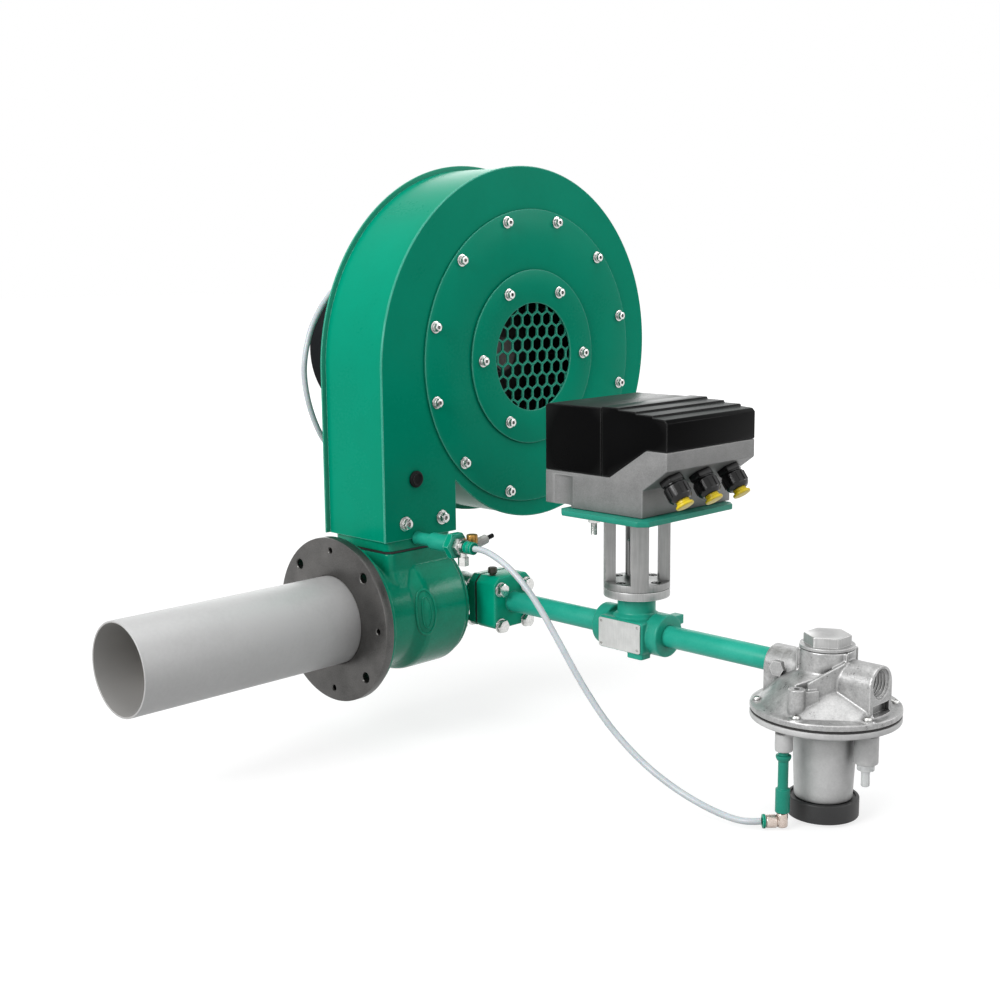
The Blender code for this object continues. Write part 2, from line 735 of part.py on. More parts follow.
def impeller():
    """Fan wheel: a back disc with its hub, swept blades and a front ring round the eye."""
    front = CASING_HALF_DEPTH - SHEET - WHEEL_RUNNING_GAP
    back = front - WHEEL_WIDTH
    bore = SHAFT_RADIUS + SEAT
    hub = 1.6 * SHAFT_RADIUS
    disc = [
        (hub, back - 0.006),
        (hub, back),
        (WHEEL_RADIUS, back),
        (WHEEL_RADIUS, back + WHEEL_SHEET),
        (hub, back + WHEEL_SHEET),
        (hub, back + 0.020),
        (bore, back + 0.020),
        (bore, back - 0.006),
    ]
    wheel = part("impeller", turned(disc, 32), DARK_STEEL, FAN_CENTRE, ALONG_FRONT)
    blades = []
    for blade in range(WHEEL_BLADES):
        outline = blade_outline(0.055, WHEEL_RADIUS - 0.001, 28, WHEEL_SHEET, 360 * blade / WHEEL_BLADES)
        blades.append(drawn(outline, back + WHEEL_SHEET / 2, front - WHEEL_SHEET / 2))
    fuse(wheel, collected(blades))
    fuse(wheel, turned(flat_ring(WHEEL_RADIUS, WHEEL_EYE_RADIUS, front - WHEEL_SHEET, front), 32))


def motor_shaft():
    """Shaft through the motor, with the washer that keeps the wheel on it."""
    wheel_back = CASING_HALF_DEPTH - SHEET - WHEEL_RUNNING_GAP - WHEEL_WIDTH
    tip = wheel_back + 0.020
    profile = [
        (0.0, tip + 0.003),
        (1.4 * SHAFT_RADIUS, tip + 0.003),
        (1.4 * SHAFT_RADIUS, tip + SEAT),
        (SHAFT_RADIUS, tip + SEAT),
        (SHAFT_RADIUS, -(COWL_START + 0.030)),
        (0.0, -(COWL_START + 0.030)),
    ]
    part("motor_shaft", turned(profile, 16), ZINC, FAN_CENTRE, ALONG_FRONT)


def motor():
    """Flange motor on the casing's back, with fins, cooling fan, cowl and terminal box."""
    bore = SHAFT_RADIUS + SHAFT_RUNNING_GAP
    flange = flat_ring(MOTOR_FLANGE_RADIUS, bore, MOTOR_FLANGE_START, MOTOR_FLANGE_START + MOTOR_FLANGE_THICKNESS)
    part("motor_flange", turned(flange, 32), MOTOR_BLACK, FAN_CENTRE, ALONG_REAR)
    fins = []
    for fin in range(MOTOR_FINS):
        middle = 360 * fin / MOTOR_FINS
        for radius, angle in (
            (MOTOR_CORE_RADIUS, middle - 3.2),
            (MOTOR_FIN_RADIUS, middle - 1.6),
            (MOTOR_FIN_RADIUS, middle + 1.6),
            (MOTOR_CORE_RADIUS, middle + 3.2),
        ):
            turn = math.radians(angle)
            fins.append((radius * math.cos(turn), radius * math.sin(turn)))
    housing = part("motor_housing", drawn(fins, MOTOR_START, MOTOR_END), MOTOR_BLACK, FAN_CENTRE, ALONG_REAR)
    cut(housing, rod(bore, MOTOR_START - THROUGH, MOTOR_END + THROUGH, 16))

    fan_start = COWL_START + 0.008
    hub = flat_ring(0.020, SHAFT_RADIUS + SEAT, fan_start, fan_start + 0.018)
    fan = part("motor_cooling_fan", turned(hub, 16), BLACK_PLASTIC, FAN_CENTRE, ALONG_REAR)
    blades = []
    for blade in range(8):
        outline = blade_outline(0.018, COOLING_FAN_RADIUS, 0, 0.0025, 45 * blade)
        blades.append(drawn(outline, fan_start + 0.001, fan_start + 0.017))
    fuse(fan, collected(blades))

    lip = MOTOR_CORE_RADIUS + 0.004
    inner = COWL_RADIUS - COWL_WALL
    cup = [
        (COWL_RADIUS, COWL_START),
        (COWL_RADIUS, COWL_END - 0.006),
        (COWL_RADIUS - 0.006, COWL_END),
        (0.0, COWL_END),
        (0.0, COWL_END - COWL_WALL),
        (inner - 0.006, COWL_END - COWL_WALL),
        (inner, COWL_END - 0.0068),
        (inner, COWL_START + COWL_WALL),
        (lip, COWL_START + COWL_WALL),
        (lip, COWL_START),
    ]
    cowl = part("motor_fan_cowl", cup_of(cup, 32), MOTOR_BLACK, FAN_CENTRE, ALONG_REAR)
    low = COWL_END - 2 * COWL_WALL
    slots = [drawn(blade_outline(0.024, 0.066, 0, 0.006, 30 * slot + 5), low, COWL_END + THROUGH) for slot in range(12)]
    cut(cowl, collected(slots))

    bottom = FAN_Z + MOTOR_FIN_RADIUS + SEAT
    middle = MOTOR_START + MOTOR_LENGTH / 2
    box = part(
        "terminal_box",
        drawn(
            rectangle(
                -TERMINAL_BOX_WIDTH / 2,
                TERMINAL_BOX_WIDTH / 2,
                -TERMINAL_BOX_DEPTH / 2,
                TERMINAL_BOX_DEPTH / 2,
            ),
            0.0,
            TERMINAL_BOX_HEIGHT,
        ),
        MOTOR_BLACK,
        (FAN_X, middle, bottom),
    )
    soften(box, 0.003)


def cup_of(profile, sides=48):
    """A cup turned about z, whose profile touches the axis twice, on its outside and its inside."""
    poles = [index for index, point in enumerate(profile) if point[0] == 0.0]
    outside = profile[: poles[0] + 1]
    inside = profile[poles[1] :]
    shape = bmesh.new()

    def row(radius, height):
        if radius == 0.0:
            return [shape.verts.new((0.0, 0.0, height))]
        return [
            shape.verts.new((radius * math.cos(math.tau * n / sides), radius * math.sin(math.tau * n / sides), height))
            for n in range(sides)
        ]

    outer_rows = [row(*point) for point in outside]
    inner_rows = [row(*point) for point in inside]
    pairs = list(zip(outer_rows, outer_rows[1:])) + list(zip(inner_rows, inner_rows[1:]))
    pairs.append((inner_rows[-1], outer_rows[0]))
    for first, second in pairs:
        for side in range(sides):
            after = (side + 1) % sides
            if len(first) == 1:
                shape.faces.new((first[0], second[side], second[after]))
            elif len(second) == 1:
                shape.faces.new((first[side], first[after], second[0]))
            else:
                shape.faces.new((first[side], first[after], second[after], second[side]))
    return facing_out(shape)


def block_outline(inset=0.0):
    """The gas block seen along the gas pipe: large chamfers above, small corners below."""
    half = BLOCK_HALF_WIDTH - inset
    low = -BLOCK_BOTTOM + inset
    high = BLOCK_TOP - inset
    return [
        (-half + BLOCK_CORNER, low),
        (half - BLOCK_CORNER, low),
        (half, low + BLOCK_CORNER),
        (half, high - BLOCK_CHAMFER),
        (half - BLOCK_CHAMFER, high),
        (-half + BLOCK_CHAMFER, high),
        (-half, high - BLOCK_CHAMFER),
        (-half, low + BLOCK_CORNER),
    ]


def rear_gas_housing():
    """Cast elbow that closes the body and leads the gas from the side into the lance."""
    profile = [
        (0.0, 0.0),
        (HOUSING_RIM_RADIUS, 0.0),
        (HOUSING_RIM_RADIUS, HOUSING_RIM_THICKNESS),
        (ELBOW_RADIUS + HOUSING_FILLET, HOUSING_RIM_THICKNESS),
        (ELBOW_RADIUS + HOUSING_FILLET / 4, HOUSING_RIM_THICKNESS + HOUSING_FILLET / 4),
        (ELBOW_RADIUS, HOUSING_RIM_THICKNESS + HOUSING_FILLET),
    ]
    steps = 6
    for step in range(steps):
        turn = math.radians(90 * step / steps)
        profile.append((ELBOW_RADIUS * math.cos(turn), TRAIN_OFFSET + ELBOW_RADIUS * math.sin(turn)))
    profile.append((0.0, TRAIN_OFFSET + ELBOW_RADIUS))
    housing = part("rear_gas_housing", turned(profile, 28), GREEN_PAINT, (HOUSING_START, 0.0, 0.0), ALONG_X)
    train = (TRAIN_X, 0.0, 0.0)
    fuse(housing, rod(ELBOW_NECK_RADIUS, 0.0, BOSS_REACH - BOSS_THICKNESS / 2, 28), train, ALONG_FRONT)
    fuse(housing, drawn(block_outline(SEAT), BOSS_REACH - BOSS_THICKNESS, BOSS_REACH), train, ALONG_FRONT)
    bore = PIPE_RADIUS - PIPE_WALL
    cut(housing, rod(bore, -bore, BOSS_REACH + THROUGH, 16), train, ALONG_FRONT)
    cut(housing, rod(LANCE_RADIUS + SEAT, -THROUGH, LANCE_SOCKET + SEAT, 16))
    cut(housing, rod(LANCE_RADIUS - LANCE_WALL, -THROUGH, TRAIN_OFFSET, 16))


def gas_lance():
    """Gas tube on the burner's axis, ending in a nozzle head with side holes."""
    head_end = SWIRL_PLATE_X - SEAT
    head_start = head_end - NOZZLE_LENGTH
    bore = LANCE_RADIUS - LANCE_WALL
    rear = HOUSING_START + LANCE_SOCKET
    profile = [
        (0.0, head_start),
        (NOZZLE_RADIUS - 0.003, head_start),
        (NOZZLE_RADIUS, head_start + 0.003),
        (NOZZLE_RADIUS, head_end),
        (LANCE_RADIUS, head_end),
        (LANCE_RADIUS, rear),
        (bore, rear),
        (bore, head_start + 0.003),
        (0.0, head_start + 0.003),
    ]
    lance = part("gas_lance", turned(profile, 16), TUBE_METAL, turn=ALONG_X)
    middle = (head_start + head_end) / 2
    for turn in (ALONG_FRONT, UPRIGHT):
        cut(lance, rod(0.002, -0.03, 0.03, 6), (middle, 0.0, 0.0), turn)


def electrode_places():
    return [(-ELECTRODE_SPREAD, ELECTRODE_RISE), (ELECTRODE_SPREAD, ELECTRODE_RISE)]


def swirl_plate():
    """Slotted disc that holds the flame, on a hub round the lance."""
    low = SWIRL_PLATE_X
    radius = TUBE_RADIUS - TUBE_WALL - SWIRL_PLATE_GAP
    hub = LANCE_RADIUS + 0.004
    bore = LANCE_RADIUS + SEAT
    profile = [
        (radius, low),
        (radius, low + SWIRL_PLATE_THICKNESS),
        (hub, low + SWIRL_PLATE_THICKNESS),
        (hub, low + 0.010),
        (bore, low + 0.010),
        (bore, low),
    ]
    plate = part("swirl_plate", turned(profile, 32), DARK_STEEL, turn=ALONG_X)
    low -= THROUGH
    high = low + 2 * THROUGH
    cut(plate, rods(electrode_places(), ELECTRODE_RADIUS + SEAT, low, high, 12))
    slots = []
    for slot in range(8):
        outline = blade_outline(0.0305, radius - 0.003, 18, 0.004, 45 * slot + 10)
        slots.append(drawn(outline, low, high))
    cut(plate, collected(slots))


def electrodes():
    """Ignition electrode and flame probe: ceramic rods with a wire tip."""
    tip = SWIRL_PLATE_X - NOZZLE_LENGTH
    for name, place in zip(("ignition_electrode", "flame_probe"), electrode_places()):
        profile = [
            (0.0, tip),
            (0.0012, tip),
            (0.0012, SWIRL_PLATE_X - 0.004),
            (ELECTRODE_RADIUS, SWIRL_PLATE_X - 0.002),
            (ELECTRODE_RADIUS, BODY_END),
            (0.0, BODY_END),
        ]
        part(name, turned(profile, 12), CERAMIC, (0.0, place[0], place[1]), ALONG_X)


def gas_block():
    """Flange block that takes the gas pipe, with its gasket and the test point's knob."""
    train = (TRAIN_X, 0.0, 0.0)
    bore = PIPE_RADIUS - PIPE_WALL
    gasket = part(
        "gas_block_gasket",
        drawn(block_outline(0.001), BLOCK_GASKET_START, BLOCK_GASKET_START + GASKET_THICKNESS),
        BLACK_RUBBER,
        train,
        ALONG_FRONT,
    )
    cut(gasket, rod(bore, 0.0, BLOCK_END, 16))
    block = part("gas_block", drawn(block_outline(), BLOCK_START, BLOCK_END), GREEN_PAINT, train, ALONG_FRONT)
    soften(block, 0.0015, 1)
    cut(block, rod(bore, 0.0, BLOCK_END + THROUGH, 20))
    cut(block, rod(PIPE_RADIUS + SEAT, BLOCK_END - PIPE_ENTRY - SEAT, BLOCK_END + THROUGH, 20))
    stem = KNOB_RADIUS - 0.0015
    knob = [
        (0.0, 0.0),
        (stem, 0.0),
        (stem, 0.0015),
        (KNOB_RADIUS, 0.0025),
        (KNOB_RADIUS, KNOB_HEIGHT - 0.001),
        (stem, KNOB_HEIGHT),
        (0.0, KNOB_HEIGHT),
    ]
    place = (TRAIN_X - KNOB_OFFSET, -(BLOCK_START + BLOCK_LENGTH / 2), BLOCK_TOP + SEAT)
    part("gas_test_knob", turned(knob, 12), BLACK_PLASTIC, place)


def gas_pipes():
    """The two runs of half-inch gas pipe, screwed into the block, the valve and the governor."""
    for name, start, run in (
        ("gas_pipe_inner", BLOCK_END, INNER_PIPE_RUN),
        ("gas_pipe_outer", VALVE_END, OUTER_PIPE_RUN),
    ):
        pipe = flat_ring(PIPE_RADIUS, PIPE_RADIUS - PIPE_WALL, start - PIPE_ENTRY, start + run + PIPE_ENTRY)
        part(name, turned(pipe, 24), PALE_GREEN_PAINT, (TRAIN_X, 0.0, 0.0), ALONG_FRONT)


def valve_body():
    """Butterfly valve casting: a block with two threaded collars, a neck, a foot and a lug."""
    centre = (TRAIN_X, VALVE_Y, 0.0)
    half = VALVE_LENGTH / 2
    box = rectangle(-VALVE_HALF_WIDTH, VALVE_HALF_WIDTH, -half, half)
    body = part("valve_body", drawn(box, -VALVE_BOTTOM, VALVE_TOP), PALE_GREEN_PAINT, centre)
    soften(body, VALVE_CORNER, 2)
    end = half + COLLAR_LENGTH
    for side in (-1, 1):
        collar = [
            (0.0, side * (half - COLLAR_ENTRY)),
            (COLLAR_RADIUS, side * (half - COLLAR_ENTRY)),
            (COLLAR_RADIUS, side * (end - COLLAR_CHAMFER)),
            (COLLAR_RADIUS - COLLAR_CHAMFER, side * end),
            (0.0, side * end),
        ]
        fuse(body, turned(collar, 28), turn=ALONG_FRONT)
    neck_foot = VALVE_NECK_RADIUS + NECK_FLARE
    neck = [
        (0.0, VALVE_BORE / 3),
        (neck_foot, VALVE_BORE / 3),
        (neck_foot, VALVE_TOP + NECK_FLARE / 4),
        (VALVE_NECK_RADIUS, VALVE_TOP + NECK_FLARE),
        (VALVE_NECK_RADIUS, VALVE_NECK_TOP),
        (0.0, VALVE_NECK_TOP),
    ]
    fuse(body, turned(neck, 24))
    foot = rectangle(-FOOT_OUTER, -FOOT_INNER, -half + FOOT_START, -half + FOOT_END)
    fuse(body, drawn(foot, -VALVE_BOTTOM - FOOT_HEIGHT, -VALVE_BORE))
    lug = rectangle(LUG_INNER, COLLAR_RADIUS + LUG_STAND, -end + LUG_START, -end + LUG_END)
    fuse(body, drawn(lug, LUG_BOTTOM, LUG_TOP))
    cut(body, rod(VALVE_BORE, -end - THROUGH, end + THROUGH, 20), turn=ALONG_FRONT)
    depth = PIPE_ENTRY + SEAT
    for low, high in ((-end - THROUGH, -end + depth), (end - depth, end + THROUGH)):
        cut(body, rod(PIPE_RADIUS + SEAT, low, high, 20), turn=ALONG_FRONT)
    cut(body, rod(SPINDLE_RADIUS + SEAT, -SPINDLE_END - SEAT, VALVE_NECK_TOP + THROUGH, 12))


def valve_plate():
    """Thin plate riveted to the valve's side, left bare."""
    margin = 0.0015
    thickness = 0.0007
    half = VALVE_LENGTH / 2 - margin
    outline = rounded_rectangle(-half, half, -VALVE_BOTTOM + margin, VALVE_TOP - margin, margin, 2)
    place = (TRAIN_X - VALVE_HALF_WIDTH - SEAT - thickness, VALVE_Y, 0.0)
    part("valve_plate", drawn(outline, 0.0, thickness), ZINC, place, ALONG_X)


def valve_butterfly():
    """Disc and spindle that throttle the gas, turning on the spindle's axis."""
    centre = (TRAIN_X, VALVE_Y, 0.0)
    top = YOKE_BOTTOM + YOKE_FLANGE_THICKNESS + 0.014
    spindle = drawn(polygon(12, SPINDLE_RADIUS), -SPINDLE_END, top)
    butterfly = part("valve_butterfly", spindle, ZINC, centre)
    disc = drawn(polygon(24, VALVE_BORE - DISC_RUNNING_GAP), -0.0008, 0.0008)
    fuse(butterfly, disc, turn=ALONG_FRONT)


def shaft_coupling():
    """Sleeve that joins the valve's spindle to the actuator's shaft."""
    low = YOKE_BOTTOM + YOKE_FLANGE_THICKNESS + 0.004
    high = PLATE_BOTTOM + PLATE_THICKNESS
    bore = SPINDLE_RADIUS + SEAT
    top = YOKE_BOTTOM + YOKE_FLANGE_THICKNESS + 0.014 + SEAT
    profile = [
        (bore, low),
        (COUPLING_RADIUS, low),
        (COUPLING_RADIUS, low + 0.034),
        (0.006, low + 0.036),
        (0.006, high),
        (0.0, high),
        (0.0, top),
        (bore, top),
    ]
    part("shaft_coupling", cup_of(profile, 16), ZINC, (TRAIN_X, VALVE_Y, 0.0))


def spacer_disc():
    """Aluminium disc between the valve's neck and the yoke."""
    disc = flat_ring(SPACER_RADIUS, 2 * SPINDLE_RADIUS, SPACER_BOTTOM, SPACER_BOTTOM + SPACER_THICKNESS)
    part("spacer_disc", turned(disc, 36), CAST_ALUMINIUM, (TRAIN_X, VALVE_Y, 0.0))


def valve_yoke():
    """Turned yoke with a bottom flange and four posts that carry the actuator."""
    radius = SPACER_RADIUS
    low = YOKE_BOTTOM
    flange = flat_ring(radius, 2 * SPINDLE_RADIUS, low, low + YOKE_FLANGE_THICKNESS)
    yoke = part("valve_yoke", turned(flange, 36), CAST_ALUMINIUM, (TRAIN_X, VALVE_Y, 0.0))
    posts = []
    spread = math.degrees(math.asin(POST_WIDTH / 2 / radius))
    for post in range(4):
        middle = 45 + 90 * post
        outer = []
        for share in (-1.0, -0.5, 0.0, 0.5, 1.0):
            turn = math.radians(middle + share * spread)
            outer.append(((radius - 0.0002) * math.cos(turn), (radius - 0.0002) * math.sin(turn)))
        inward = Vector((math.cos(math.radians(middle)), math.sin(math.radians(middle)))) * POST_DEPTH
        inner = [(outer[-1][0] - inward.x, outer[-1][1] - inward.y), (outer[0][0] - inward.x, outer[0][1] - inward.y)]
        posts.append(drawn(outer + inner, low + YOKE_FLANGE_THICKNESS / 2, YOKE_TOP))
    fuse(yoke, collected(posts))
    holes = on_circle(4, radius - 0.0075)
    cut(yoke, rods(holes, 0.0035, low - THROUGH, low + YOKE_FLANGE_THICKNESS + THROUGH, 8))


def actuator_plate():
    """Steel plate under the actuator, with a stud at its free corner."""
    outline = chamfered_rectangle(-PLATE_LEFT, PLATE_RIGHT, -PLATE_FRONT, PLATE_REAR, PLATE_CORNER)
    centre = (TRAIN_X, VALVE_Y, 0.0)
    plate = part("actuator_plate", drawn(outline, PLATE_BOTTOM, PLATE_BOTTOM + PLATE_THICKNESS), PALE_GREEN_PAINT, centre)
    cut(plate, rod(COUPLING_RADIUS, 0.0, BASE_BOTTOM + THROUGH, 16))
    stud = rods([STUD_PLACE], STUD_RADIUS, PLATE_BOTTOM - STUD_LENGTH, PLATE_BOTTOM + PLATE_THICKNESS / 2, 8)
    fuse(plate, stud)


def actuator_base():
    """Die-cast lower housing, drawn as its side view and carried across its width."""
    low = BASE_BOTTOM
    rear_foot = low + 0.0022
    side = [
        (-BASE_FOOT_FRONT, low),
        (BASE_FOOT_REAR, low),
        (BASE_FOOT_REAR, rear_foot),
        (ACTUATOR_REAR, rear_foot),
        (ACTUATOR_REAR, low + BASE_SIDE_HEIGHT),
        (-COVER_SPLIT - 0.0095, low + BASE_SIDE_HEIGHT),
        (-0.064, low + BASE_FRONT_HEIGHT),
        (-ACTUATOR_FRONT, low + BASE_FRONT_HEIGHT),
        (-ACTUATOR_FRONT, low + BASE_SLANT_HIGH),
        (-BASE_FOOT_FRONT, low + BASE_SLANT_LOW),
    ]
    centre = (TRAIN_X, VALVE_Y, 0.0)
    base = part("actuator_base", drawn(side, -ACTUATOR_HALF_WIDTH, ACTUATOR_HALF_WIDTH), CAST_ALUMINIUM, centre, ALONG_X)
    soften(base, 0.002)


def actuator_covers():
    """Moulded covers: a front one in three steps, and a plain rear one."""
    centre = (TRAIN_X, VALVE_Y, 0.0)
    low = BASE_BOTTOM
    seat = low + SEAT
    top = low + COVER_TOP
    front = -ACTUATOR_FRONT
    side = [
        (-COVER_SPLIT - SEAT, seat + BASE_SIDE_HEIGHT),
        (-COVER_SPLIT - SEAT, top),
        (-0.032, top),
        (-0.0325, top - COVER_STEP),
        (-0.052, top - COVER_STEP),
        (-0.0525, top - 2 * COVER_STEP),
        (-0.071, top - 2 * COVER_STEP),
        (-0.0715, top - 3 * COVER_STEP),
        (front + 0.003, top - 3 * COVER_STEP - 0.0008),
        (front, top - 3 * COVER_STEP - 0.004),
        (front, seat + BASE_FRONT_HEIGHT),
        (-0.064 - SEAT, seat + BASE_FRONT_HEIGHT),
        (-COVER_SPLIT - 0.0095 - SEAT, seat + BASE_SIDE_HEIGHT),
    ]
    half = ACTUATOR_HALF_WIDTH
    cover = part("actuator_cover_front", drawn(side, -half, half), BLACK_PLASTIC, centre, ALONG_X)
    soften(cover, 0.0012)
    side = [
        (-COVER_SPLIT + SEAT, seat + BASE_SIDE_HEIGHT),
        (ACTUATOR_REAR, seat + BASE_SIDE_HEIGHT),
        (ACTUATOR_REAR, top - 0.004),
        (ACTUATOR_REAR - 0.003, top - 0.0015),
        (-COVER_SPLIT + SEAT, top - 0.001),
    ]
    cover = part("actuator_cover_rear", drawn(side, -half, half), BLACK_PLASTIC, centre, ALONG_X)
    soften(cover, 0.0012)


def cable_glands():
    """Three glands on the slanted face, each with its sealing plug."""
    rise = BASE_SLANT_HIGH - BASE_SLANT_LOW
    run = ACTUATOR_FRONT - BASE_FOOT_FRONT
    tilt = math.atan2(rise, run)
    share = 0.56
    y = VALVE_Y - BASE_FOOT_FRONT - share * run
    z = BASE_BOTTOM + BASE_SLANT_LOW + share * rise
    down = Vector((0.0, -math.sin(tilt), -math.cos(tilt)))
    profile = [
        (0.0, 0.0),
        (GLAND_RADIUS, 0.0),
        (GLAND_RADIUS, 0.020),
        (GLAND_RADIUS - 0.003, 0.023),
        (0.007, 0.0235),
        (0.0062, 0.038),
        (0.0, 0.038),
    ]
    for index in range(3):
        x = TRAIN_X - 0.0023 + (index - 1) * GLAND_PITCH
        place = Vector((x, y, z)) + SEAT * down
        name = "cable_gland_" + str(index + 1)
        part(name, turned(profile, 18), BLACK_PLASTIC, place, (math.radians(180) - tilt, 0.0, 0.0))


def governor_place():
    return (TRAIN_X, GOVERNOR_Y, 0.0)


def port_boss_outline(bottom):
    """A port's boss seen from its end: straight sides under a round top."""
    half = PORT_BOSS_HALF_WIDTH
    outline = [(-half, bottom), (half, bottom)]
    steps = 12
    for step in range(steps + 1):
        turn = math.pi * step / steps
        outline.append((half * math.cos(turn), PORT_BOSS_TOP - half + half * math.sin(turn)))
    return outline


def governor_body():
    """Upper casting: a flange, a cone up to the tower, and the inlet and outlet bosses."""
    low = UPPER_FLANGE_BOTTOM
    edge = low + FLANGE_PLATE
    outside = [
        (0.0, low),
        (GOVERNOR_RADIUS, low),
        (GOVERNOR_RADIUS, edge - 0.001),
        (GOVERNOR_RADIUS - 0.001, edge),
        (GOVERNOR_RADIUS - 0.0075, edge + 0.0005),
        (CONE_RADIUS, CONE_TOP),
        (TOWER_RADIUS + 0.002, CONE_TOP + 0.008),
        (TOWER_RADIUS, CONE_TOP + 0.010),
        (TOWER_RADIUS, TOWER_TOP),
        (0.0, TOWER_TOP),
    ]
    body = part("governor_body", turned(outside, 36), CAST_ALUMINIUM, governor_place())
    root = low + FLANGE_PLATE / 2
    fuse(body, drawn(port_boss_outline(root), -GOVERNOR_OUTLET_REACH, GOVERNOR_INLET_REACH), turn=ALONG_FRONT)
    fuse(body, rods([SIDE_BOSS_PLACE], SIDE_BOSS_RADIUS, root, SIDE_BOSS_TOP, 16))

    run = (RIB_END[0] - RIB_START[0], RIB_END[1] - RIB_START[1])
    heading = math.atan2(run[1], run[0])
    length = math.hypot(*run)
    rib = [(0.0, root), (length, root), (length, RIB_END_TOP), (0.0, RIB_START_TOP)]
    for side in (1, -1):
        shape = drawn(rib, -RIB_THICKNESS / 2, RIB_THICKNESS / 2)
        place = (TRAIN_X + side * RIB_START[0], GOVERNOR_Y + side * RIB_START[1], 0.0)
        fuse(body, shape, place, (math.radians(90), 0.0, heading + (0.0 if side > 0 else math.pi)))
    fin = rectangle(0.9 * TOWER_RADIUS, TOWER_RADIUS + FIN_STAND, -FIN_THICKNESS / 2, FIN_THICKNESS / 2)
    for turn in (135, -45):
        fuse(body, drawn(fin, FIN_BOTTOM, TOWER_TOP - SEAT), turn=(0.0, 0.0, math.radians(turn)))
    plug_end = PORT_BOSS_HALF_WIDTH + SIDE_PLUG_STAND
    plug = rod(SIDE_PLUG_RADIUS, -plug_end, -0.7 * PORT_BOSS_HALF_WIDTH, 16)
    fuse(body, plug, (TRAIN_X, GOVERNOR_Y + SIDE_PLUG_OFFSET, 0.0), ALONG_X)

    cut(body, rods([SIDE_BOSS_PLACE], SIDE_BOSS_HOLE, SIDE_BOSS_TOP - 0.004, SIDE_BOSS_TOP + THROUGH, 8))
    cut(body, rod(CHAMBER_RADIUS, 0.002, TOWER_TOP + THROUGH, 28))
    cut(body, rod(VALVE_SEAT_RADIUS, -0.004, 0.004, 16))
    cut(body, rod(0.014, -0.014, -0.002, 16))
    cut(body, rod(DIAPHRAGM_CHAMBER_RADIUS, low - THROUGH, low + 0.009, 28))
    cut(body, rod(0.0035, low + 0.005, -0.010, 8))
    cut(body, rod(PORT_RADIUS, PORT_DEPTH, GOVERNOR_INLET_REACH + THROUGH, 24), turn=ALONG_FRONT)
    cut(body, drawn(rectangle(-0.008, 0.008, -0.0125, -0.003), 0.008, PORT_DEPTH + 0.009), turn=ALONG_FRONT)
    reach = GOVERNOR_OUTLET_REACH
    socket = PIPE_RADIUS + SEAT
    cut(body, rod(socket, -reach - THROUGH, -reach + PIPE_ENTRY + SEAT, 24), turn=ALONG_FRONT)
    cut(body, drawn(rectangle(-0.006, 0.006, 0.003, 0.0075), -reach, -0.012), turn=ALONG_FRONT)


def governor_gasket():
    """Edge of the diaphragm, clamped between the two castings."""
    low = UPPER_FLANGE_BOTTOM - SEAT - DIAPHRAGM_GASKET
    ring = flat_ring(GOVERNOR_RADIUS - 0.0005, DIAPHRAGM_CHAMBER_RADIUS, low, low + DIAPHRAGM_GASKET)
    part("governor_gasket", turned(ring, 36), BLACK_RUBBER, governor_place())


def governor_bowl():
    """Lower casting: a flange, a shallow skirt and the long spring bowl, with two bosses."""
    top = LOWER_FLANGE_TOP
    profile = [
        (GOVERNOR_RADIUS, top),
        (GOVERNOR_RADIUS, top - FLANGE_PLATE),
        (GOVERNOR_RADIUS - 0.005, top - FLANGE_PLATE - 0.001),
        (0.050, top - 0.011),
        (0.034, top - 0.0155),
        (BOWL_TOP_RADIUS, top - 0.019),
        (BOWL_END_RADIUS, BOWL_BOTTOM),
        (BOWL_BORE, BOWL_BOTTOM),
        (BOWL_BORE, top - 0.018),
        (0.030, top - 0.0125),
        (DIAPHRAGM_CHAMBER_RADIUS, top - 0.006),
        (DIAPHRAGM_CHAMBER_RADIUS, top),
    ]
    bowl = part("governor_bowl", turned(profile, 36), CAST_ALUMINIUM, governor_place())
    fuse(bowl, rods([IMPULSE_LINE_OFFSET], DROP_BOSS_RADIUS, DROP_BOSS_BOTTOM, top - 0.0095, 16))
    fuse(bowl, rods([(0.0, -BREATHER_OFFSET)], BREATHER_BOSS_RADIUS, BREATHER_BOSS_BOTTOM, top - 0.0125, 16))


def governor_diaphragm():
    """Diaphragm plate with its stem and the valve disc above the seat."""
    low = UPPER_FLANGE_BOTTOM - 0.0005
    profile = [
        (0.0, low),
        (DIAPHRAGM_PLATE_RADIUS, low),
        (DIAPHRAGM_PLATE_RADIUS, low + 0.002),
        (0.008, low + 0.0025),
        (0.003, low + 0.004),
        (0.003, 0.0023),
        (VALVE_SEAT_RADIUS + 0.003, 0.0023),
        (VALVE_SEAT_RADIUS + 0.003, 0.0063),
        (0.0, 0.0063),
    ]
    part("governor_diaphragm", turned(profile, 24), BLACK_RUBBER, governor_place())


def governor_spring():
    """Coil spring that sets the gas pressure, with flat end turns."""
    low = ADJUSTER_HEIGHT + SEAT + SPRING_WIRE
    high = UPPER_FLANGE_BOTTOM - 0.0005 - SEAT - SPRING_WIRE
    per_turn = 9
    steps = per_turn * SPRING_TURNS
    route = []
    for step in range(steps + 1):
        angle = math.tau * step / per_turn
        share = min(max((step - per_turn / 2) / (steps - per_turn), 0.0), 1.0)
        route.append((SPRING_RADIUS * math.cos(angle), SPRING_RADIUS * math.sin(angle), low + (high - low) * share))
    swept("governor_spring", route, SPRING_WIRE, ZINC, 0, governor_place())


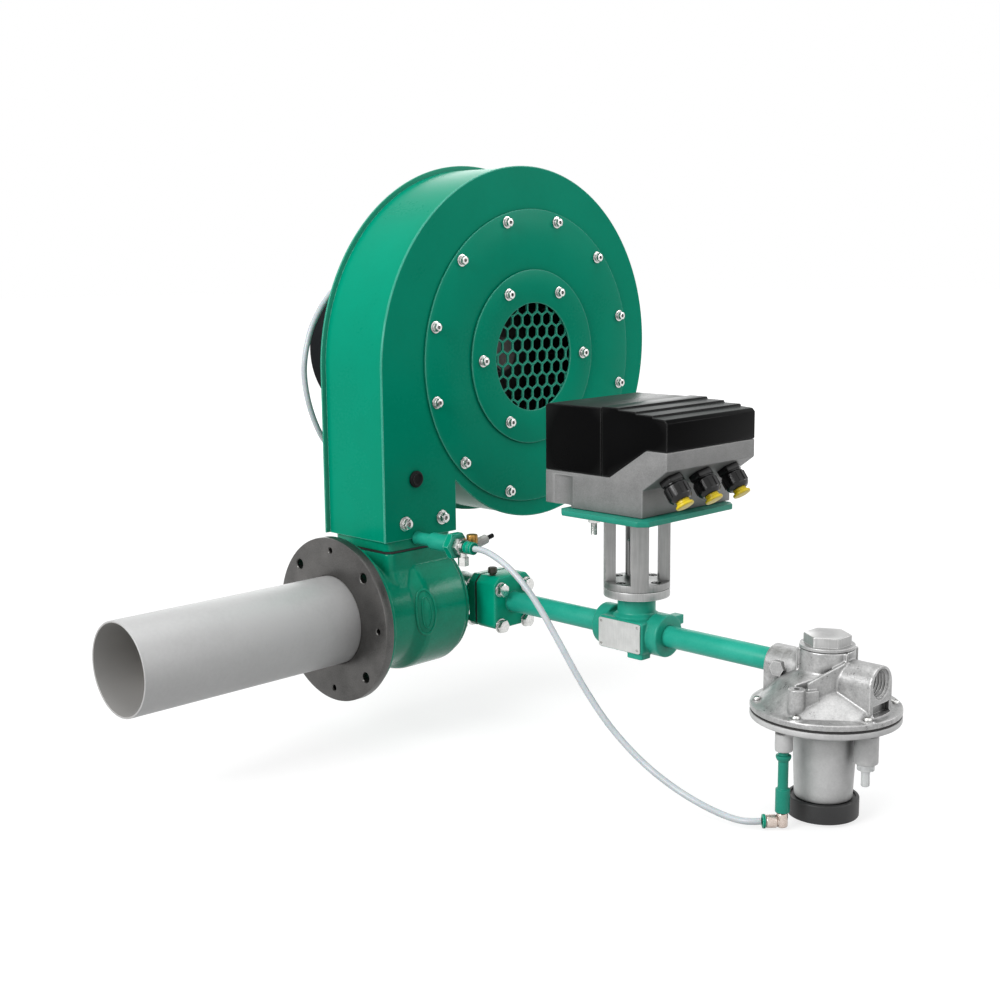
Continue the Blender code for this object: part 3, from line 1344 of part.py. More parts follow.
def spring_adjuster():
    """Screwed disc that loads the spring, with its key stub."""
    top = ADJUSTER_HEIGHT
    radius = BOWL_BORE - SEAT
    profile = [
        (0.0, top),
        (radius, top),
        (radius, top - 0.005),
        (0.006, top - 0.005),
        (0.006, top - 0.012),
        (0.0, top - 0.012),
    ]
    part("spring_adjuster", turned(profile, 24), ZINC, governor_place())


def governor_cap_ring():
    """Black screw cap that closes the bowl."""
    top = CAP_LEDGE + CAP_LIP_HEIGHT
    low = top - CAP_RING_HEIGHT
    profile = [
        (CAP_RING_RADIUS, top),
        (CAP_RING_RADIUS, low + 0.002),
        (CAP_RING_RADIUS - 0.002, low),
        (0.0, low),
        (0.0, low + 0.003),
        (BOWL_BORE - 0.0015, low + 0.003),
        (BOWL_BORE - 0.0015, CAP_LEDGE),
        (CAP_LIP_BORE, CAP_LEDGE),
        (CAP_LIP_BORE, top),
    ]
    part("governor_cap_ring", cup_of(profile, 32), BLACK_PLASTIC, governor_place())


def governor_hex_cap():
    """Hexagon screw plug in the governor's tower."""
    low = TOWER_TOP + SEAT
    plug = CHAMBER_RADIUS - SEAT
    collar = TOWER_RADIUS - SEAT
    profile = [
        (0.0, low - 0.006),
        (plug, low - 0.006),
        (plug, low),
        (collar, low),
        (collar, low + HEX_COLLAR_HEIGHT),
        (0.0, low + HEX_COLLAR_HEIGHT),
    ]
    cap = part("governor_hex_cap", turned(profile, 28), CAST_ALUMINIUM, governor_place())
    top = low + HEX_CAP_HEIGHT
    hexagon = [
        (0.0, low + HEX_COLLAR_HEIGHT / 2),
        (HEX_CAP_RADIUS, low + HEX_COLLAR_HEIGHT / 2),
        (HEX_CAP_RADIUS, top - 0.001),
        (HEX_CAP_RADIUS - 0.0015, top),
        (0.0, top),
    ]
    fuse(cap, turned(hexagon, 6), turn=(0.0, 0.0, math.radians(HEX_CAP_TURN)))


def impulse_line():
    """Green drop tube under the governor, its elbow, and the white breather at the other boss."""
    x, y = IMPULSE_LINE_OFFSET
    place = (TRAIN_X + x, GOVERNOR_Y + y, 0.0)
    radius = IMPULSE_LINE_RADIUS
    profile = [
        (0.0, -0.0603),
        (radius, -0.0603),
        (radius, -0.0635),
        (radius + 0.0022, -0.064),
        (radius + 0.0022, -0.066),
        (radius + 0.001, -0.0685),
        (radius, -0.069),
        (radius, -0.0935),
        (radius + 0.0018, -0.094),
        (radius + 0.0018, -0.115),
        (0.0, -0.115),
    ]
    part("governor_tap", turned(profile, 16), PALE_GREEN_PAINT, place)

    stem = [(0.0, -0.1287), (0.0035, -0.1287), (0.005, -0.1272), (0.005, -0.1153), (0.0, -0.1153)]
    elbow = part("governor_elbow", turned(stem, 16), BRASS, place)
    arm = [
        (0.0, 0.0),
        (0.0042, 0.0),
        (0.0042, 0.004),
        (PUSH_IN_RADIUS - 0.0004, 0.0055),
        (PUSH_IN_RADIUS - 0.0004, 0.0135),
        (PUSH_IN_RADIUS, 0.0140),
        (PUSH_IN_RADIUS, 0.0175),
        (0.0, 0.0175),
    ]
    fuse(elbow, turned(arm, 14), (place[0], place[1], -0.1235), (math.radians(90), 0.0, math.radians(225)))

    nipple = [
        (0.0, -0.0730),
        (0.0075, -0.0730),
        (0.0075, -0.0785),
        (0.0038, -0.0795),
        (0.0038, -0.0926),
        (0.0028, -0.0936),
        (0.0, -0.0936),
    ]
    part("breather_nipple", turned(nipple, 12), CLEAR_PLASTIC, (TRAIN_X, GOVERNOR_Y - BREATHER_OFFSET, 0.0))


def pressure_tap():
    """Air pressure tap on the adapter: stub, green nut, cross with its test nipple, and push-in collar."""
    start = NECK_HALF_WIDTH + ADAPTER_FLARE + SEAT
    place = (TAP_X, 0.0, TAP_Z)
    stub_end = TAP_NUT_START - SEAT
    stub = [
        (0.0, start),
        (0.006, start),
        (0.006, 0.066),
        (0.0085, 0.067),
        (0.0085, stub_end),
        (0.0, stub_end),
    ]
    part("tap_stub", turned(stub, 16), ZINC, place, ALONG_FRONT)
    nut = [
        (0.0, TAP_NUT_START),
        (TAP_NUT_RADIUS - 0.0013, TAP_NUT_START),
        (TAP_NUT_RADIUS, TAP_NUT_START + 0.0008),
        (TAP_NUT_RADIUS, TAP_NUT_END - 0.0008),
        (TAP_NUT_RADIUS - 0.0013, TAP_NUT_END),
        (0.0, TAP_NUT_END),
    ]
    part("tap_tee", turned(nut, 6), GREEN_PAINT, place, ALONG_FRONT)

    cross_start = TAP_NUT_END + SEAT
    cross = [
        (0.0, cross_start),
        (0.0092, cross_start),
        (0.0092, 0.1095),
        (TAP_CROSS_RADIUS, 0.1100),
        (TAP_CROSS_RADIUS, TAP_CROSS_END),
        (0.0, TAP_CROSS_END),
    ]
    tap = part("test_nipple", turned(cross, 12), ZINC, place, ALONG_FRONT)
    arm = (TAP_X, -TAP_ARM_REACH, TAP_Z)
    side_arm = [(0.0, 0.0), (TAP_ARM_RADIUS, 0.0), (TAP_ARM_RADIUS, 0.0175), (0.0, 0.0175)]
    fuse(tap, turned(side_arm, 10), arm, (0.0, math.radians(90), 0.0))
    nipple = [
        (0.0, 0.0),
        (0.0047, 0.0),
        (0.0047, 0.015),
        (0.0022, 0.016),
        (0.0022, 0.025),
        (0.0, 0.025),
    ]
    fuse(tap, turned(nipple, 10), (TAP_X + 0.0165, arm[1], TAP_Z), (0.0, math.radians(77.5), 0.0))
    fuse(tap, rod(0.0056, 0.0015, 0.0105, 10), (TAP_X + 0.0122, arm[1], TAP_Z), UPRIGHT)
    fuse(tap, rod(0.0035, -0.0105, 0.0, 10), arm, UPRIGHT)
    fuse(tap, turned([(0.0, -0.0100), (0.0055, -0.0100), (0.0055, -0.0185), (0.0, -0.0185)], 6), arm, UPRIGHT)
    collar_start = TAP_CROSS_END + SEAT
    collar = [
        (0.0, collar_start),
        (PUSH_IN_RADIUS, collar_start),
        (PUSH_IN_RADIUS, 0.1250),
        (PUSH_IN_RADIUS - 0.001, 0.1260),
        (0.0, 0.1260),
    ]
    part("hose_push_in", turned(collar, 16), GREEN_PAINT, place, ALONG_FRONT)


def impulse_hose():
    """Plastic hose from the tap, down in front of the gas pipe, to the governor's elbow."""
    route = [
        (0.0770, -0.1263, 0.0780),
        (0.0770, -0.1340, 0.0784),
        (0.0772, -0.1430, 0.0774),
        (0.0777, -0.1544, 0.0738),
        (0.0785, -0.1677, 0.0676),
        (0.0795, -0.1798, 0.0596),
        (0.0805, -0.1904, 0.0508),
        (0.0818, -0.2008, 0.0400),
        (0.0830, -0.2111, 0.0275),
        (0.0843, -0.2211, 0.0140),
        (0.0857, -0.2310, 0.0000),
        (0.0896, -0.2556, -0.0350),
        (0.0936, -0.2802, -0.0643),
        (0.0976, -0.3045, -0.0860),
        (0.1010, -0.3284, -0.1018),
        (0.1038, -0.3522, -0.1130),
        (0.1052, -0.3758, -0.1202),
        (0.1050, -0.3990, -0.1238),
        (0.1050, -0.4180, -0.1248),
        (0.1069, -0.4297, -0.1242),
        (0.1136, -0.4391, -0.1235),
    ]
    swept("impulse_hose", smooth_route(route, 0.012), HOSE_RADIUS, HOSE_WHITE, 2)


def casing_hose():
    """Short hose behind the casing, looped between two fittings on the back plate."""
    upper = (0.1080, BACK_PLATE_OUTER + SEAT, 0.3488)
    lower = (0.0886, BACK_PLATE_OUTER + SEAT, 0.1397)
    profile = [
        (0.0, 0.0),
        (0.008, 0.0),
        (0.008, 0.007),
        (PUSH_IN_RADIUS, 0.008),
        (PUSH_IN_RADIUS, 0.0155),
        (0.0, 0.0155),
    ]
    part("casing_hose_fitting_upper", turned(profile, 12), ZINC, upper, ALONG_REAR)
    part("casing_hose_fitting_lower", turned(profile, 12), ZINC, lower, ALONG_REAR)
    route = [
        (0.1080, 0.0624, 0.3488),
        (0.1078, 0.0704, 0.3486),
        (0.1052, 0.0788, 0.3453),
        (0.0992, 0.0856, 0.3377),
        (0.0919, 0.0884, 0.3285),
        (0.0814, 0.0900, 0.3187),
        (0.0688, 0.0910, 0.3040),
        (0.0573, 0.0915, 0.2857),
        (0.0507, 0.0920, 0.2673),
        (0.0464, 0.0920, 0.2475),
        (0.0464, 0.0920, 0.2299),
        (0.0492, 0.0910, 0.2095),
        (0.0559, 0.0905, 0.1887),
        (0.0641, 0.0895, 0.1713),
        (0.0727, 0.0884, 0.1602),
        (0.0810, 0.0853, 0.1496),
        (0.0863, 0.0788, 0.1427),
        (0.0884, 0.0704, 0.1399),
        (0.0886, 0.0624, 0.1397),
    ]
    swept("casing_hose", smooth_route(route, 0.0085), HOSE_RADIUS, HOSE_WHITE, 2)


def casing_plug():
    """Dark plug in the duct's front wall."""
    profile = [(0.0, 0.0), (0.0085, 0.0), (0.0085, 0.002), (0.006, 0.0035), (0.0, 0.0035)]
    place = (DUCT_LEFT + 0.0401, -CASING_HALF_DEPTH - SEAT, DUCT_BOTTOM + 0.0493)
    part("casing_plug", turned(profile, 16), BLACK_PLASTIC, place, ALONG_FRONT)


for leftover in list(bpy.data.objects):
    bpy.data.objects.remove(leftover)

flame_tube()
mounting_flange()
burner_body()
duct_gasket()
duct_adapter()
fan_casing()
fan_back_plate()
air_inlet()
impeller()
motor_shaft()
motor()
casing_plug()
rear_gas_housing()
gas_lance()
swirl_plate()
electrodes()
gas_block()
gas_pipes()
valve_body()
valve_plate()
valve_butterfly()
shaft_coupling()
spacer_disc()
valve_yoke()
actuator_plate()
actuator_base()
actuator_covers()
cable_glands()
governor_body()
governor_gasket()
governor_bowl()
governor_diaphragm()
governor_spring()
spring_adjuster()
governor_cap_ring()
governor_hex_cap()
impulse_line()
pressure_tap()
impulse_hose()
casing_hose()
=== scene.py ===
"""The looks of an industrial gas burner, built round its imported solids.

Metres, +Z up, in the solids' own frame: the flame tube points along -X, and the fan's inlet and the
gas train face -Y. The sections follow the burner as it is put together.
"""

import math

import bmesh
import bpy
from mathutils import Matrix, Vector


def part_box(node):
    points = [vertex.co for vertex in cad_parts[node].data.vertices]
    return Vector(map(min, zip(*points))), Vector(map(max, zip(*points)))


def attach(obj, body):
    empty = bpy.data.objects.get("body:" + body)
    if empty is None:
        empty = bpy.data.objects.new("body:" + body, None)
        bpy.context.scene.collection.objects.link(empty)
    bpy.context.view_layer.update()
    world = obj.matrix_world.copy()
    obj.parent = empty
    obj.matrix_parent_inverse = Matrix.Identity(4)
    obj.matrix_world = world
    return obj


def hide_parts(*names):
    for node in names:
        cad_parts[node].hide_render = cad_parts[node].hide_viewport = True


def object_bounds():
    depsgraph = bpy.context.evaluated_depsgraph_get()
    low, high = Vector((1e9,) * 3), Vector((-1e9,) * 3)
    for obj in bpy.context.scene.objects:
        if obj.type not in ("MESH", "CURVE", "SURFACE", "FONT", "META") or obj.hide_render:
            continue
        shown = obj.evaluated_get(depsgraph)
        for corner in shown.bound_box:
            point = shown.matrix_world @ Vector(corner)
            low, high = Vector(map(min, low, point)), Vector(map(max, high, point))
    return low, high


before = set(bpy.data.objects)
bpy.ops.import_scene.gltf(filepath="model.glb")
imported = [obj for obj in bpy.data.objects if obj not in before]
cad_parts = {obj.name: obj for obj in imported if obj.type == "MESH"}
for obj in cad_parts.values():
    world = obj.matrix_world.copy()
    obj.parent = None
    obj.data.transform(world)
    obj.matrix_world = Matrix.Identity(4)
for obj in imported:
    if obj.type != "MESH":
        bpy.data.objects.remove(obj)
solid_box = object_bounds()

# Studio: a pale floor just under the governor's cap, a white surround, and soft lamps that keep
# a painted colour about as it is written. The camera stands left of the burner, a little above it.
LENS = 53.41
CAMERA_PLACE = Vector((-0.90123, -1.13789, 0.37014))
AZIMUTH = math.radians(-45.07)
ELEVATION = math.radians(9.85)
ROLL = math.radians(-0.57)
LAMPS = {
    "key_lamp": ((-2.6, 0.0, 1.5), 1.6, 72.0),
    "front_lamp": ((0.3, -2.7, 1.2), 2.2, 13.0),
    "side_lamp": ((1.90, -1.70, 0.98), 0.5, 8.0),
    "top_lamp": ((0.2, -0.1, 2.8), 2.0, 27.0),
    "back_lamp": ((2.2, 2.4, 1.1), 2.0, 22.0),
}
LAMP_AIM = Vector((0.10, -0.12, 0.10))
SURROUND_LIGHT = 0.30
FLOOR_DROP = 0.0015
FLOOR_REACH = 14.0
FLOOR_TONE = 0.34
FLOOR_NEAR = 0.76
FLOOR_FAR = 1.0
WHITE = (1.0, 1.0, 1.0, 1.0)
scene = bpy.context.scene
scene.view_settings.view_transform = "Standard"


def in_scene(name, data):
    thing = bpy.data.objects.new(name, data)
    scene.collection.objects.link(thing)
    return thing


camera_data = bpy.data.cameras.new("camera")
camera_data.lens = LENS
camera_data.sensor_width = 36.0
camera_data.clip_end = 100.0
camera = in_scene("camera", camera_data)
level = math.cos(ELEVATION)
backward = Vector((math.sin(AZIMUTH) * level, -math.cos(AZIMUTH) * level, math.sin(ELEVATION)))
rightward = Vector((math.cos(AZIMUTH), math.sin(AZIMUTH), 0.0))
axes = Matrix((rightward, backward.cross(rightward), backward)).transposed()
heading = (axes @ Matrix.Rotation(ROLL, 3, "Z")).to_quaternion()
camera.matrix_world = Matrix.LocRotScale(CAMERA_PLACE, heading, None)
scene.camera = camera
for lamp_name, (lamp_place, lamp_size, lamp_power) in LAMPS.items():
    lamp_data = bpy.data.lights.new(lamp_name, "AREA")
    lamp_data.size = lamp_size
    lamp_data.energy = lamp_power
    lamp = in_scene(lamp_name, lamp_data)
    lamp.location = lamp_place
    lamp.rotation_euler = (Vector(lamp_place) - LAMP_AIM).to_track_quat("Z", "Y").to_euler()


def wire(tree, node, *inputs, **named):
    """Fills a node's sockets, in order or by name, with plain values or with other nodes' outputs."""
    sockets = list(zip(node.inputs, inputs))
    sockets += [(node.inputs[name.replace("_", " ")], value) for name, value in named.items()]
    for socket, value in sockets:
        if isinstance(value, bpy.types.Node):
            value = value.outputs[0]
        if isinstance(value, bpy.types.NodeSocket):
            tree.links.new(value, socket)
        else:
            socket.default_value = value
    return node


def add_node(tree, kind, *inputs, operation=None, **named):
    """A new shader node with its sockets filled. Its first output stands for it in other nodes."""
    fresh = tree.nodes.new("ShaderNode" + kind)
    if operation:
        fresh.operation = operation
    return wire(tree, fresh, *inputs, **named)


def white_by_ray(tree):
    """How much of the background shows as plain white: all of it, for the camera, gloss and glass."""
    path = add_node(tree, "LightPath").outputs
    seen = add_node(tree, "Math", path["Is Camera Ray"], path["Is Glossy Ray"], operation="MAXIMUM")
    return add_node(tree, "Math", seen, path["Is Transmission Ray"], operation="MAXIMUM")


world = bpy.data.worlds.new("studio")
scene.world = world
world.use_nodes = True
sky = world.node_tree
surround = add_node(sky, "MapRange", Value=white_by_ray(sky), To_Min=SURROUND_LIGHT)
wire(sky, sky.nodes["Background"], Color=WHITE, Strength=surround)
floor_mesh = bpy.data.meshes.new("floor")
floor_shape = bmesh.new()
bmesh.ops.create_circle(floor_shape, cap_ends=True, segments=64, radius=FLOOR_REACH)
floor_shape.to_mesh(floor_mesh)
floor_shape.free()
floor = in_scene("floor", floor_mesh)
floor.location.z = solid_box[0][2] - FLOOR_DROP
paper = bpy.data.materials.new("floor_paper")
paper.use_nodes = True
sheet = paper.node_tree
reach = add_node(sheet, "VectorMath", add_node(sheet, "TexCoord").outputs["Object"], operation="LENGTH")
glow = add_node(sheet, "MapRange", Value=reach.outputs["Value"], To_Min=FLOOR_NEAR, To_Max=FLOOR_FAR)
wire(sheet, glow, From_Min=0.8, From_Max=2.6)
wire(
    sheet,
    sheet.nodes["Principled BSDF"],
    Base_Color=(FLOOR_TONE, FLOOR_TONE, FLOOR_TONE, 1.0),
    Roughness=1.0,
    Specular_IOR_Level=0.0,
    Emission_Color=WHITE,
    Emission_Strength=add_node(sheet, "Math", glow, white_by_ray(sheet), operation="MULTIPLY"),
)
floor_mesh.materials.append(paper)

# Hoses: milky white plastic tube, 6 mm across. One runs from the pressure tap down to the governor,
# the other loops behind the fan casing. Each is pushed into a fitting at both ends.
HOSE_RADIUS = 0.003
HOSE_STEP = 0.004
IMPULSE_ROUTE = [
    (0.0770, -0.1263, 0.0780), (0.0770, -0.1340, 0.0784), (0.0772, -0.1430, 0.0774),
    (0.0777, -0.1544, 0.0738), (0.0785, -0.1677, 0.0676), (0.0795, -0.1798, 0.0596),
    (0.0805, -0.1904, 0.0508), (0.0818, -0.2008, 0.0400), (0.0830, -0.2111, 0.0275),
    (0.0843, -0.2211, 0.0140), (0.0857, -0.2310, 0.0000), (0.0896, -0.2556, -0.0350),
    (0.0936, -0.2802, -0.0643), (0.0976, -0.3045, -0.0860), (0.1010, -0.3284, -0.1018),
    (0.1038, -0.3522, -0.1130), (0.1052, -0.3758, -0.1202), (0.1050, -0.3990, -0.1238),
    (0.1050, -0.4180, -0.1248), (0.1069, -0.4297, -0.1242), (0.1136, -0.4391, -0.1235),
]
CASING_ROUTE = [
    (0.1080, 0.0624, 0.3488), (0.1078, 0.0704, 0.3486), (0.1052, 0.0788, 0.3453),
    (0.0992, 0.0856, 0.3377), (0.0919, 0.0884, 0.3285), (0.0814, 0.0900, 0.3187),
    (0.0688, 0.0910, 0.3040), (0.0573, 0.0915, 0.2857), (0.0507, 0.0920, 0.2673),
    (0.0464, 0.0920, 0.2475), (0.0464, 0.0920, 0.2299), (0.0492, 0.0910, 0.2095),
    (0.0559, 0.0905, 0.1887), (0.0641, 0.0895, 0.1713), (0.0727, 0.0884, 0.1602),
    (0.0810, 0.0853, 0.1496), (0.0863, 0.0788, 0.1427), (0.0884, 0.0704, 0.1399),
    (0.0886, 0.0624, 0.1397),
]


def smooth_route(points, spacing):
    """Evenly spaced points on a Catmull-Rom curve through the route's own points."""
    points = [Vector(point) for point in points]
    held = [2 * points[0] - points[1]] + points + [2 * points[-1] - points[-2]]
    fine = []
    for a, b, c, d in zip(held, held[1:], held[2:], held[3:]):
        for step in range(24):
            t = step / 24
            cubic = (3 * b - a - 3 * c + d) * t**3
            square = (2 * a - 5 * b + 4 * c - d) * t**2
            fine.append(0.5 * (2 * b + (c - a) * t + square + cubic))
    fine.append(points[-1])
    lengths = [0.0]
    for first, second in zip(fine, fine[1:]):
        lengths.append(lengths[-1] + (second - first).length)
    count = max(2, round(lengths[-1] / spacing))
    route = []
    index = 0
    for step in range(count + 1):
        wanted = lengths[-1] * step / count
        while index < len(fine) - 2 and lengths[index + 1] < wanted:
            index += 1
        span = lengths[index + 1] - lengths[index]
        route.append(fine[index].lerp(fine[index + 1], (wanted - lengths[index]) / span))
    return route


def finish(name, slot, dark, light, rough, cloud, grain, depth=0.0, metallic=0.0, hollow_shade=0.0, **more):
    """A surface whose colour clouds between two tones, with a fine grain in its gloss and relief.

    dark and light are linear colours, cloud and grain are repeats to the metre, and depth is the
    relief in metres. hollow_shade darkens the hollows with painted shade. In more, tint is the
    grain's share of the colour, stretch draws the grain out along an axis, worn is a
    paler tone on rounded edges, a painted highlight, and dust a paler tone on faces that look
    up, a painted sheen. The rest of more goes to the shader's own sockets.
    """
    material = bpy.data.materials.new(name)
    material.use_nodes = True
    tree = material.node_tree
    worn = more.pop("worn", None)
    dust = more.pop("dust", None)
    place = add_node(tree, "TexCoord").outputs["Object"]
    drawn_out = add_node(tree, "Mapping", Vector=place, Scale=more.pop("stretch", (1.0, 1.0, 1.0)))
    clouds = add_node(tree, "TexNoise", Vector=place, Scale=cloud, Detail=4.0, Roughness=0.6)
    specks = add_node(tree, "TexNoise", Vector=drawn_out, Scale=grain, Detail=3.0, Roughness=0.6)
    both = add_node(tree, "MixRGB", Fac=more.pop("tint", 0.5), Color1=clouds, Color2=specks)
    colour = add_node(tree, "ValToRGB", Fac=both)
    for end, share, tone in zip(colour.color_ramp.elements, (0.36, 0.64), (dark, light)):
        end.position = share
        end.color = (*tone, 1.0)
    # Painted shade: an ambient occlusion darkens the colour in hollows and corners.
    if hollow_shade:
        hollow = add_node(tree, "AmbientOcclusion", Distance=0.008)
        hollow.samples = 6
        hollow_darkening = add_node(tree, "MapRange", Value=hollow.outputs["AO"], From_Min=0.25, From_Max=0.95)
        wire(tree, hollow_darkening, To_Min=1.0 - hollow_shade)
        colour = add_node(tree, "MixRGB", Fac=1.0, Color1=colour, Color2=hollow_darkening)
        colour.blend_type = "MULTIPLY"
    # Painted sheen: faces that look up take a paler tone, for the sheen they catch from above.
    if dust:
        upward = add_node(tree, "SeparateXYZ", Vector=add_node(tree, "NewGeometry").outputs["Normal"])
        sheen_share = add_node(tree, "MapRange", Value=upward.outputs["Z"], From_Min=0.8, From_Max=0.99)
        colour = add_node(tree, "MixRGB", Fac=sheen_share, Color1=colour, Color2=(*dust, 1.0))
    # Painted highlight: rounded edges, found where the bevelled normal turns from the flat one, take a paler
    # tone for light glancing off them.
    if worn:
        flat = add_node(tree, "NewGeometry").outputs["True Normal"]
        rounded = add_node(tree, "Bevel", Radius=0.0011)
        rounded.samples = 4
        bend = add_node(tree, "VectorMath", flat, rounded, operation="DOT_PRODUCT").outputs["Value"]
        edge = add_node(tree, "MapRange", Value=bend, From_Min=0.99, From_Max=0.91, To_Max=0.85)
        colour = add_node(tree, "MixRGB", Fac=edge, Color1=colour, Color2=(*worn, 1.0))
    gloss = add_node(tree, "MapRange", Value=both, From_Min=0.3, From_Max=0.7)
    wire(tree, gloss, To_Min=rough[0], To_Max=rough[1])
    shader = tree.nodes["Principled BSDF"]
    wire(tree, shader, Base_Color=colour, Metallic=metallic, Roughness=gloss, **more)
    if depth:
        wire(tree, shader, Normal=add_node(tree, "Bump", Height=specks, Distance=depth))
    return material


hose_plastic = finish(
    "hose_plastic", "white_hose", (0.52, 0.57, 0.60), (0.62, 0.66, 0.69), rough=(0.25, 0.35),
    cloud=60.0, grain=900.0, depth=0.00002, IOR=1.5, Subsurface_Weight=0.15, Subsurface_Scale=0.002,
)


def hose(node, route):
    """A hose drawn as a round tube along its route, in place of the named solid."""
    points = smooth_route(route, HOSE_STEP)
    curve = bpy.data.curves.new(node + "_tube", "CURVE")
    curve.dimensions = "3D"
    curve.bevel_depth = HOSE_RADIUS
    curve.bevel_resolution = 6
    curve.use_fill_caps = True
    spline = curve.splines.new("POLY")
    spline.points.add(len(points) - 1)
    for place, point in zip(spline.points, points):
        place.co = (*point, 1.0)
    curve.materials.append(hose_plastic)
    tube = in_scene(node + "_tube", curve)
    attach(tube, "root")
    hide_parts(node)


hose("impulse_hose", IMPULSE_ROUTE)
hose("casing_hose", CASING_ROUTE)

# Flame tube: rolled heat-resistant steel, 89 mm across and open at the furnace end. It is left bare,
# with a dull grey scale outside and a browner one inside.
ORIGIN = (0.0, 0.0, 0.0)
UPRIGHT = (0.0, 0.0, 0.0)
ALONG_X = (math.radians(90), 0.0, math.radians(90))
TUBE_RADIUS = 0.04445
TUBE_WALL = 0.002
TUBE_BORE = TUBE_RADIUS - TUBE_WALL
tube_low, tube_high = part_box("flame_tube")


def facing_out(shape):
    """The same mesh with every face pointing out."""
    bmesh.ops.recalc_face_normals(shape, faces=shape.faces)
    if shape.calc_volume(signed=True) < 0:
        bmesh.ops.reverse_faces(shape, faces=shape.faces)
    return shape


def eased(points, radius, closed=True, steps=4):
    """The same outline with each corner rounded off, as far as its sides allow."""
    points = [Vector(point) for point in points]
    count = len(points)
    outline = []
    for index, corner in enumerate(points):
        if not closed and index in (0, count - 1):
            outline.append(corner[:])
            continue
        before = points[index - 1] - corner
        after = points[(index + 1) % count] - corner
        reach = min(radius, 0.45 * before.length, 0.45 * after.length)
        start = corner + before.normalized() * reach
        end = corner + after.normalized() * reach
        for step in range(steps + 1):
            t = step / steps
            outline.append((start * (1 - t) ** 2 + corner * 2 * t * (1 - t) + end * t**2)[:])
    return outline


def polygon(sides, radius, centre=(0.0, 0.0), turn=0.0):
    corners = []
    for side in range(sides):
        angle = math.radians(turn) + math.tau * side / sides
        corners.append((centre[0] + radius * math.cos(angle), centre[1] + radius * math.sin(angle)))
    return corners


def revolved(profile, sides):
    """A closed mesh turned about z from (radius, height) points, into a solid or a ring."""
    shape = bmesh.new()
    rows = []
    for radius, height in profile:
        places = polygon(sides, radius) if radius else [(0.0, 0.0)]
        rows.append([shape.verts.new((x, y, height)) for x, y in places])
    pairs = list(zip(rows, rows[1:]))
    if len(rows[0]) > 1 or len(rows[-1]) > 1:
        pairs.append((rows[-1], rows[0]))
    for first, second in pairs:
        for side in range(sides):
            after = (side + 1) % sides
            if len(first) == 1:
                shape.faces.new((first[0], second[side], second[after]))
            elif len(second) == 1:
                shape.faces.new((first[side], first[after], second[0]))
            else:
                shape.faces.new((first[side], first[after], second[after], second[side]))
    return facing_out(shape)


def turned(profile, ease=0.0, sides=96):
    """A solid turned about z, flat at both ends, with its corners eased."""
    profile = [(0.0, profile[0][1])] + profile + [(0.0, profile[-1][1])]
    return revolved(eased(profile, ease, False) if ease else profile, sides)


def ring(outer, inner, low, high, ease=0.0005, sides=96, steps=2):
    """A ring about z with its four edges eased."""
    corners = [(outer, low), (outer, high), (inner, high), (inner, low)]
    return revolved(eased(corners, ease, steps=steps), sides)


def as_object(name, shape, at=ORIGIN, turn=UPRIGHT):
    mesh = bpy.data.meshes.new(name)
    shape.to_mesh(mesh)
    shape.free()
    thing = in_scene(name, mesh)
    thing.location = at
    thing.rotation_euler = turn
    return thing


def smoothed(thing, angle=32):
    """Shades a piece smooth between its sharp edges."""
    thing.data.shade_smooth()
    thing.data.set_sharp_from_angle(angle=math.radians(angle))


def piece(name, node, shape, material, at=ORIGIN, turn=UPRIGHT, slot=None):
    """A piece of the dressed burner, which stands for the named solid where it has one."""
    thing = as_object(name, shape, at, turn)
    thing.data.materials.append(material)
    smoothed(thing)
    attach(thing, "root")
    if node:
        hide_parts(node)
    return thing


def inner_tone(material, radius, tone):
    """Tints what lies inside a radius about the piece's own z, as heat tints the inside of a tube."""
    tree = material.node_tree
    shader = tree.nodes["Principled BSDF"]
    outer = shader.inputs["Base Color"].links[0].from_socket
    place = add_node(tree, "TexCoord").outputs["Object"]
    flat = add_node(tree, "VectorMath", place, (1.0, 1.0, 0.0), operation="MULTIPLY")
    reach = add_node(tree, "VectorMath", flat, operation="LENGTH").outputs["Value"]
    inside = add_node(tree, "MapRange", Value=reach, From_Min=radius + 0.0003, From_Max=radius - 0.0003)
    wire(tree, shader, Base_Color=add_node(tree, "MixRGB", Fac=inside, Color1=outer, Color2=(*tone, 1.0)))


tube_scale = finish(
    "tube_scale", "tube_metal", (0.45, 0.45, 0.45), (0.53, 0.53, 0.53), rough=(0.42, 0.55), cloud=9.0,
    grain=260.0, depth=0.00004, metallic=0.2, tint=0.25,
)
inner_tone(tube_scale, TUBE_RADIUS - TUBE_WALL / 2, (0.40, 0.395, 0.385))
tube_skin = ring(TUBE_RADIUS, TUBE_BORE, tube_low.x, tube_high.x, 0.0006, 160, 3)
piece("flame_tube_skin", "flame_tube", tube_skin, tube_scale, turn=ALONG_X)

# Mounting flange: a turned steel ring, 10 mm thick, with four wall bolt holes and four small screw
# holes. Its face keeps the fine rings of the cutting tool.
FLANGE_RADIUS = 0.083
FLANGE_THICKNESS = 0.010
HOLE_CIRCLE = 0.0705
WALL_HOLE = 0.005
SCREW_HOLE = 0.0028
COUNTERSINK = 0.0008
CUT_THROUGH = 0.01
GAP = 0.0003


def lofted(lower, low, upper, high):
    """A closed mesh between two outlines with as many points each."""
    shape = bmesh.new()
    bottom = [shape.verts.new((x, y, low)) for x, y in lower]
    top = [shape.verts.new((x, y, high)) for x, y in upper]
    shape.faces.new(bottom)
    shape.faces.new(top)
    for index in range(len(bottom)):
        after = (index + 1) % len(bottom)
        shape.faces.new((bottom[index], bottom[after], top[after], top[index]))
    return facing_out(shape)


def drawn(outline, low, high):
    """A closed mesh of one outline, drawn out from low to high along z."""
    return lofted(outline, low, outline, high)


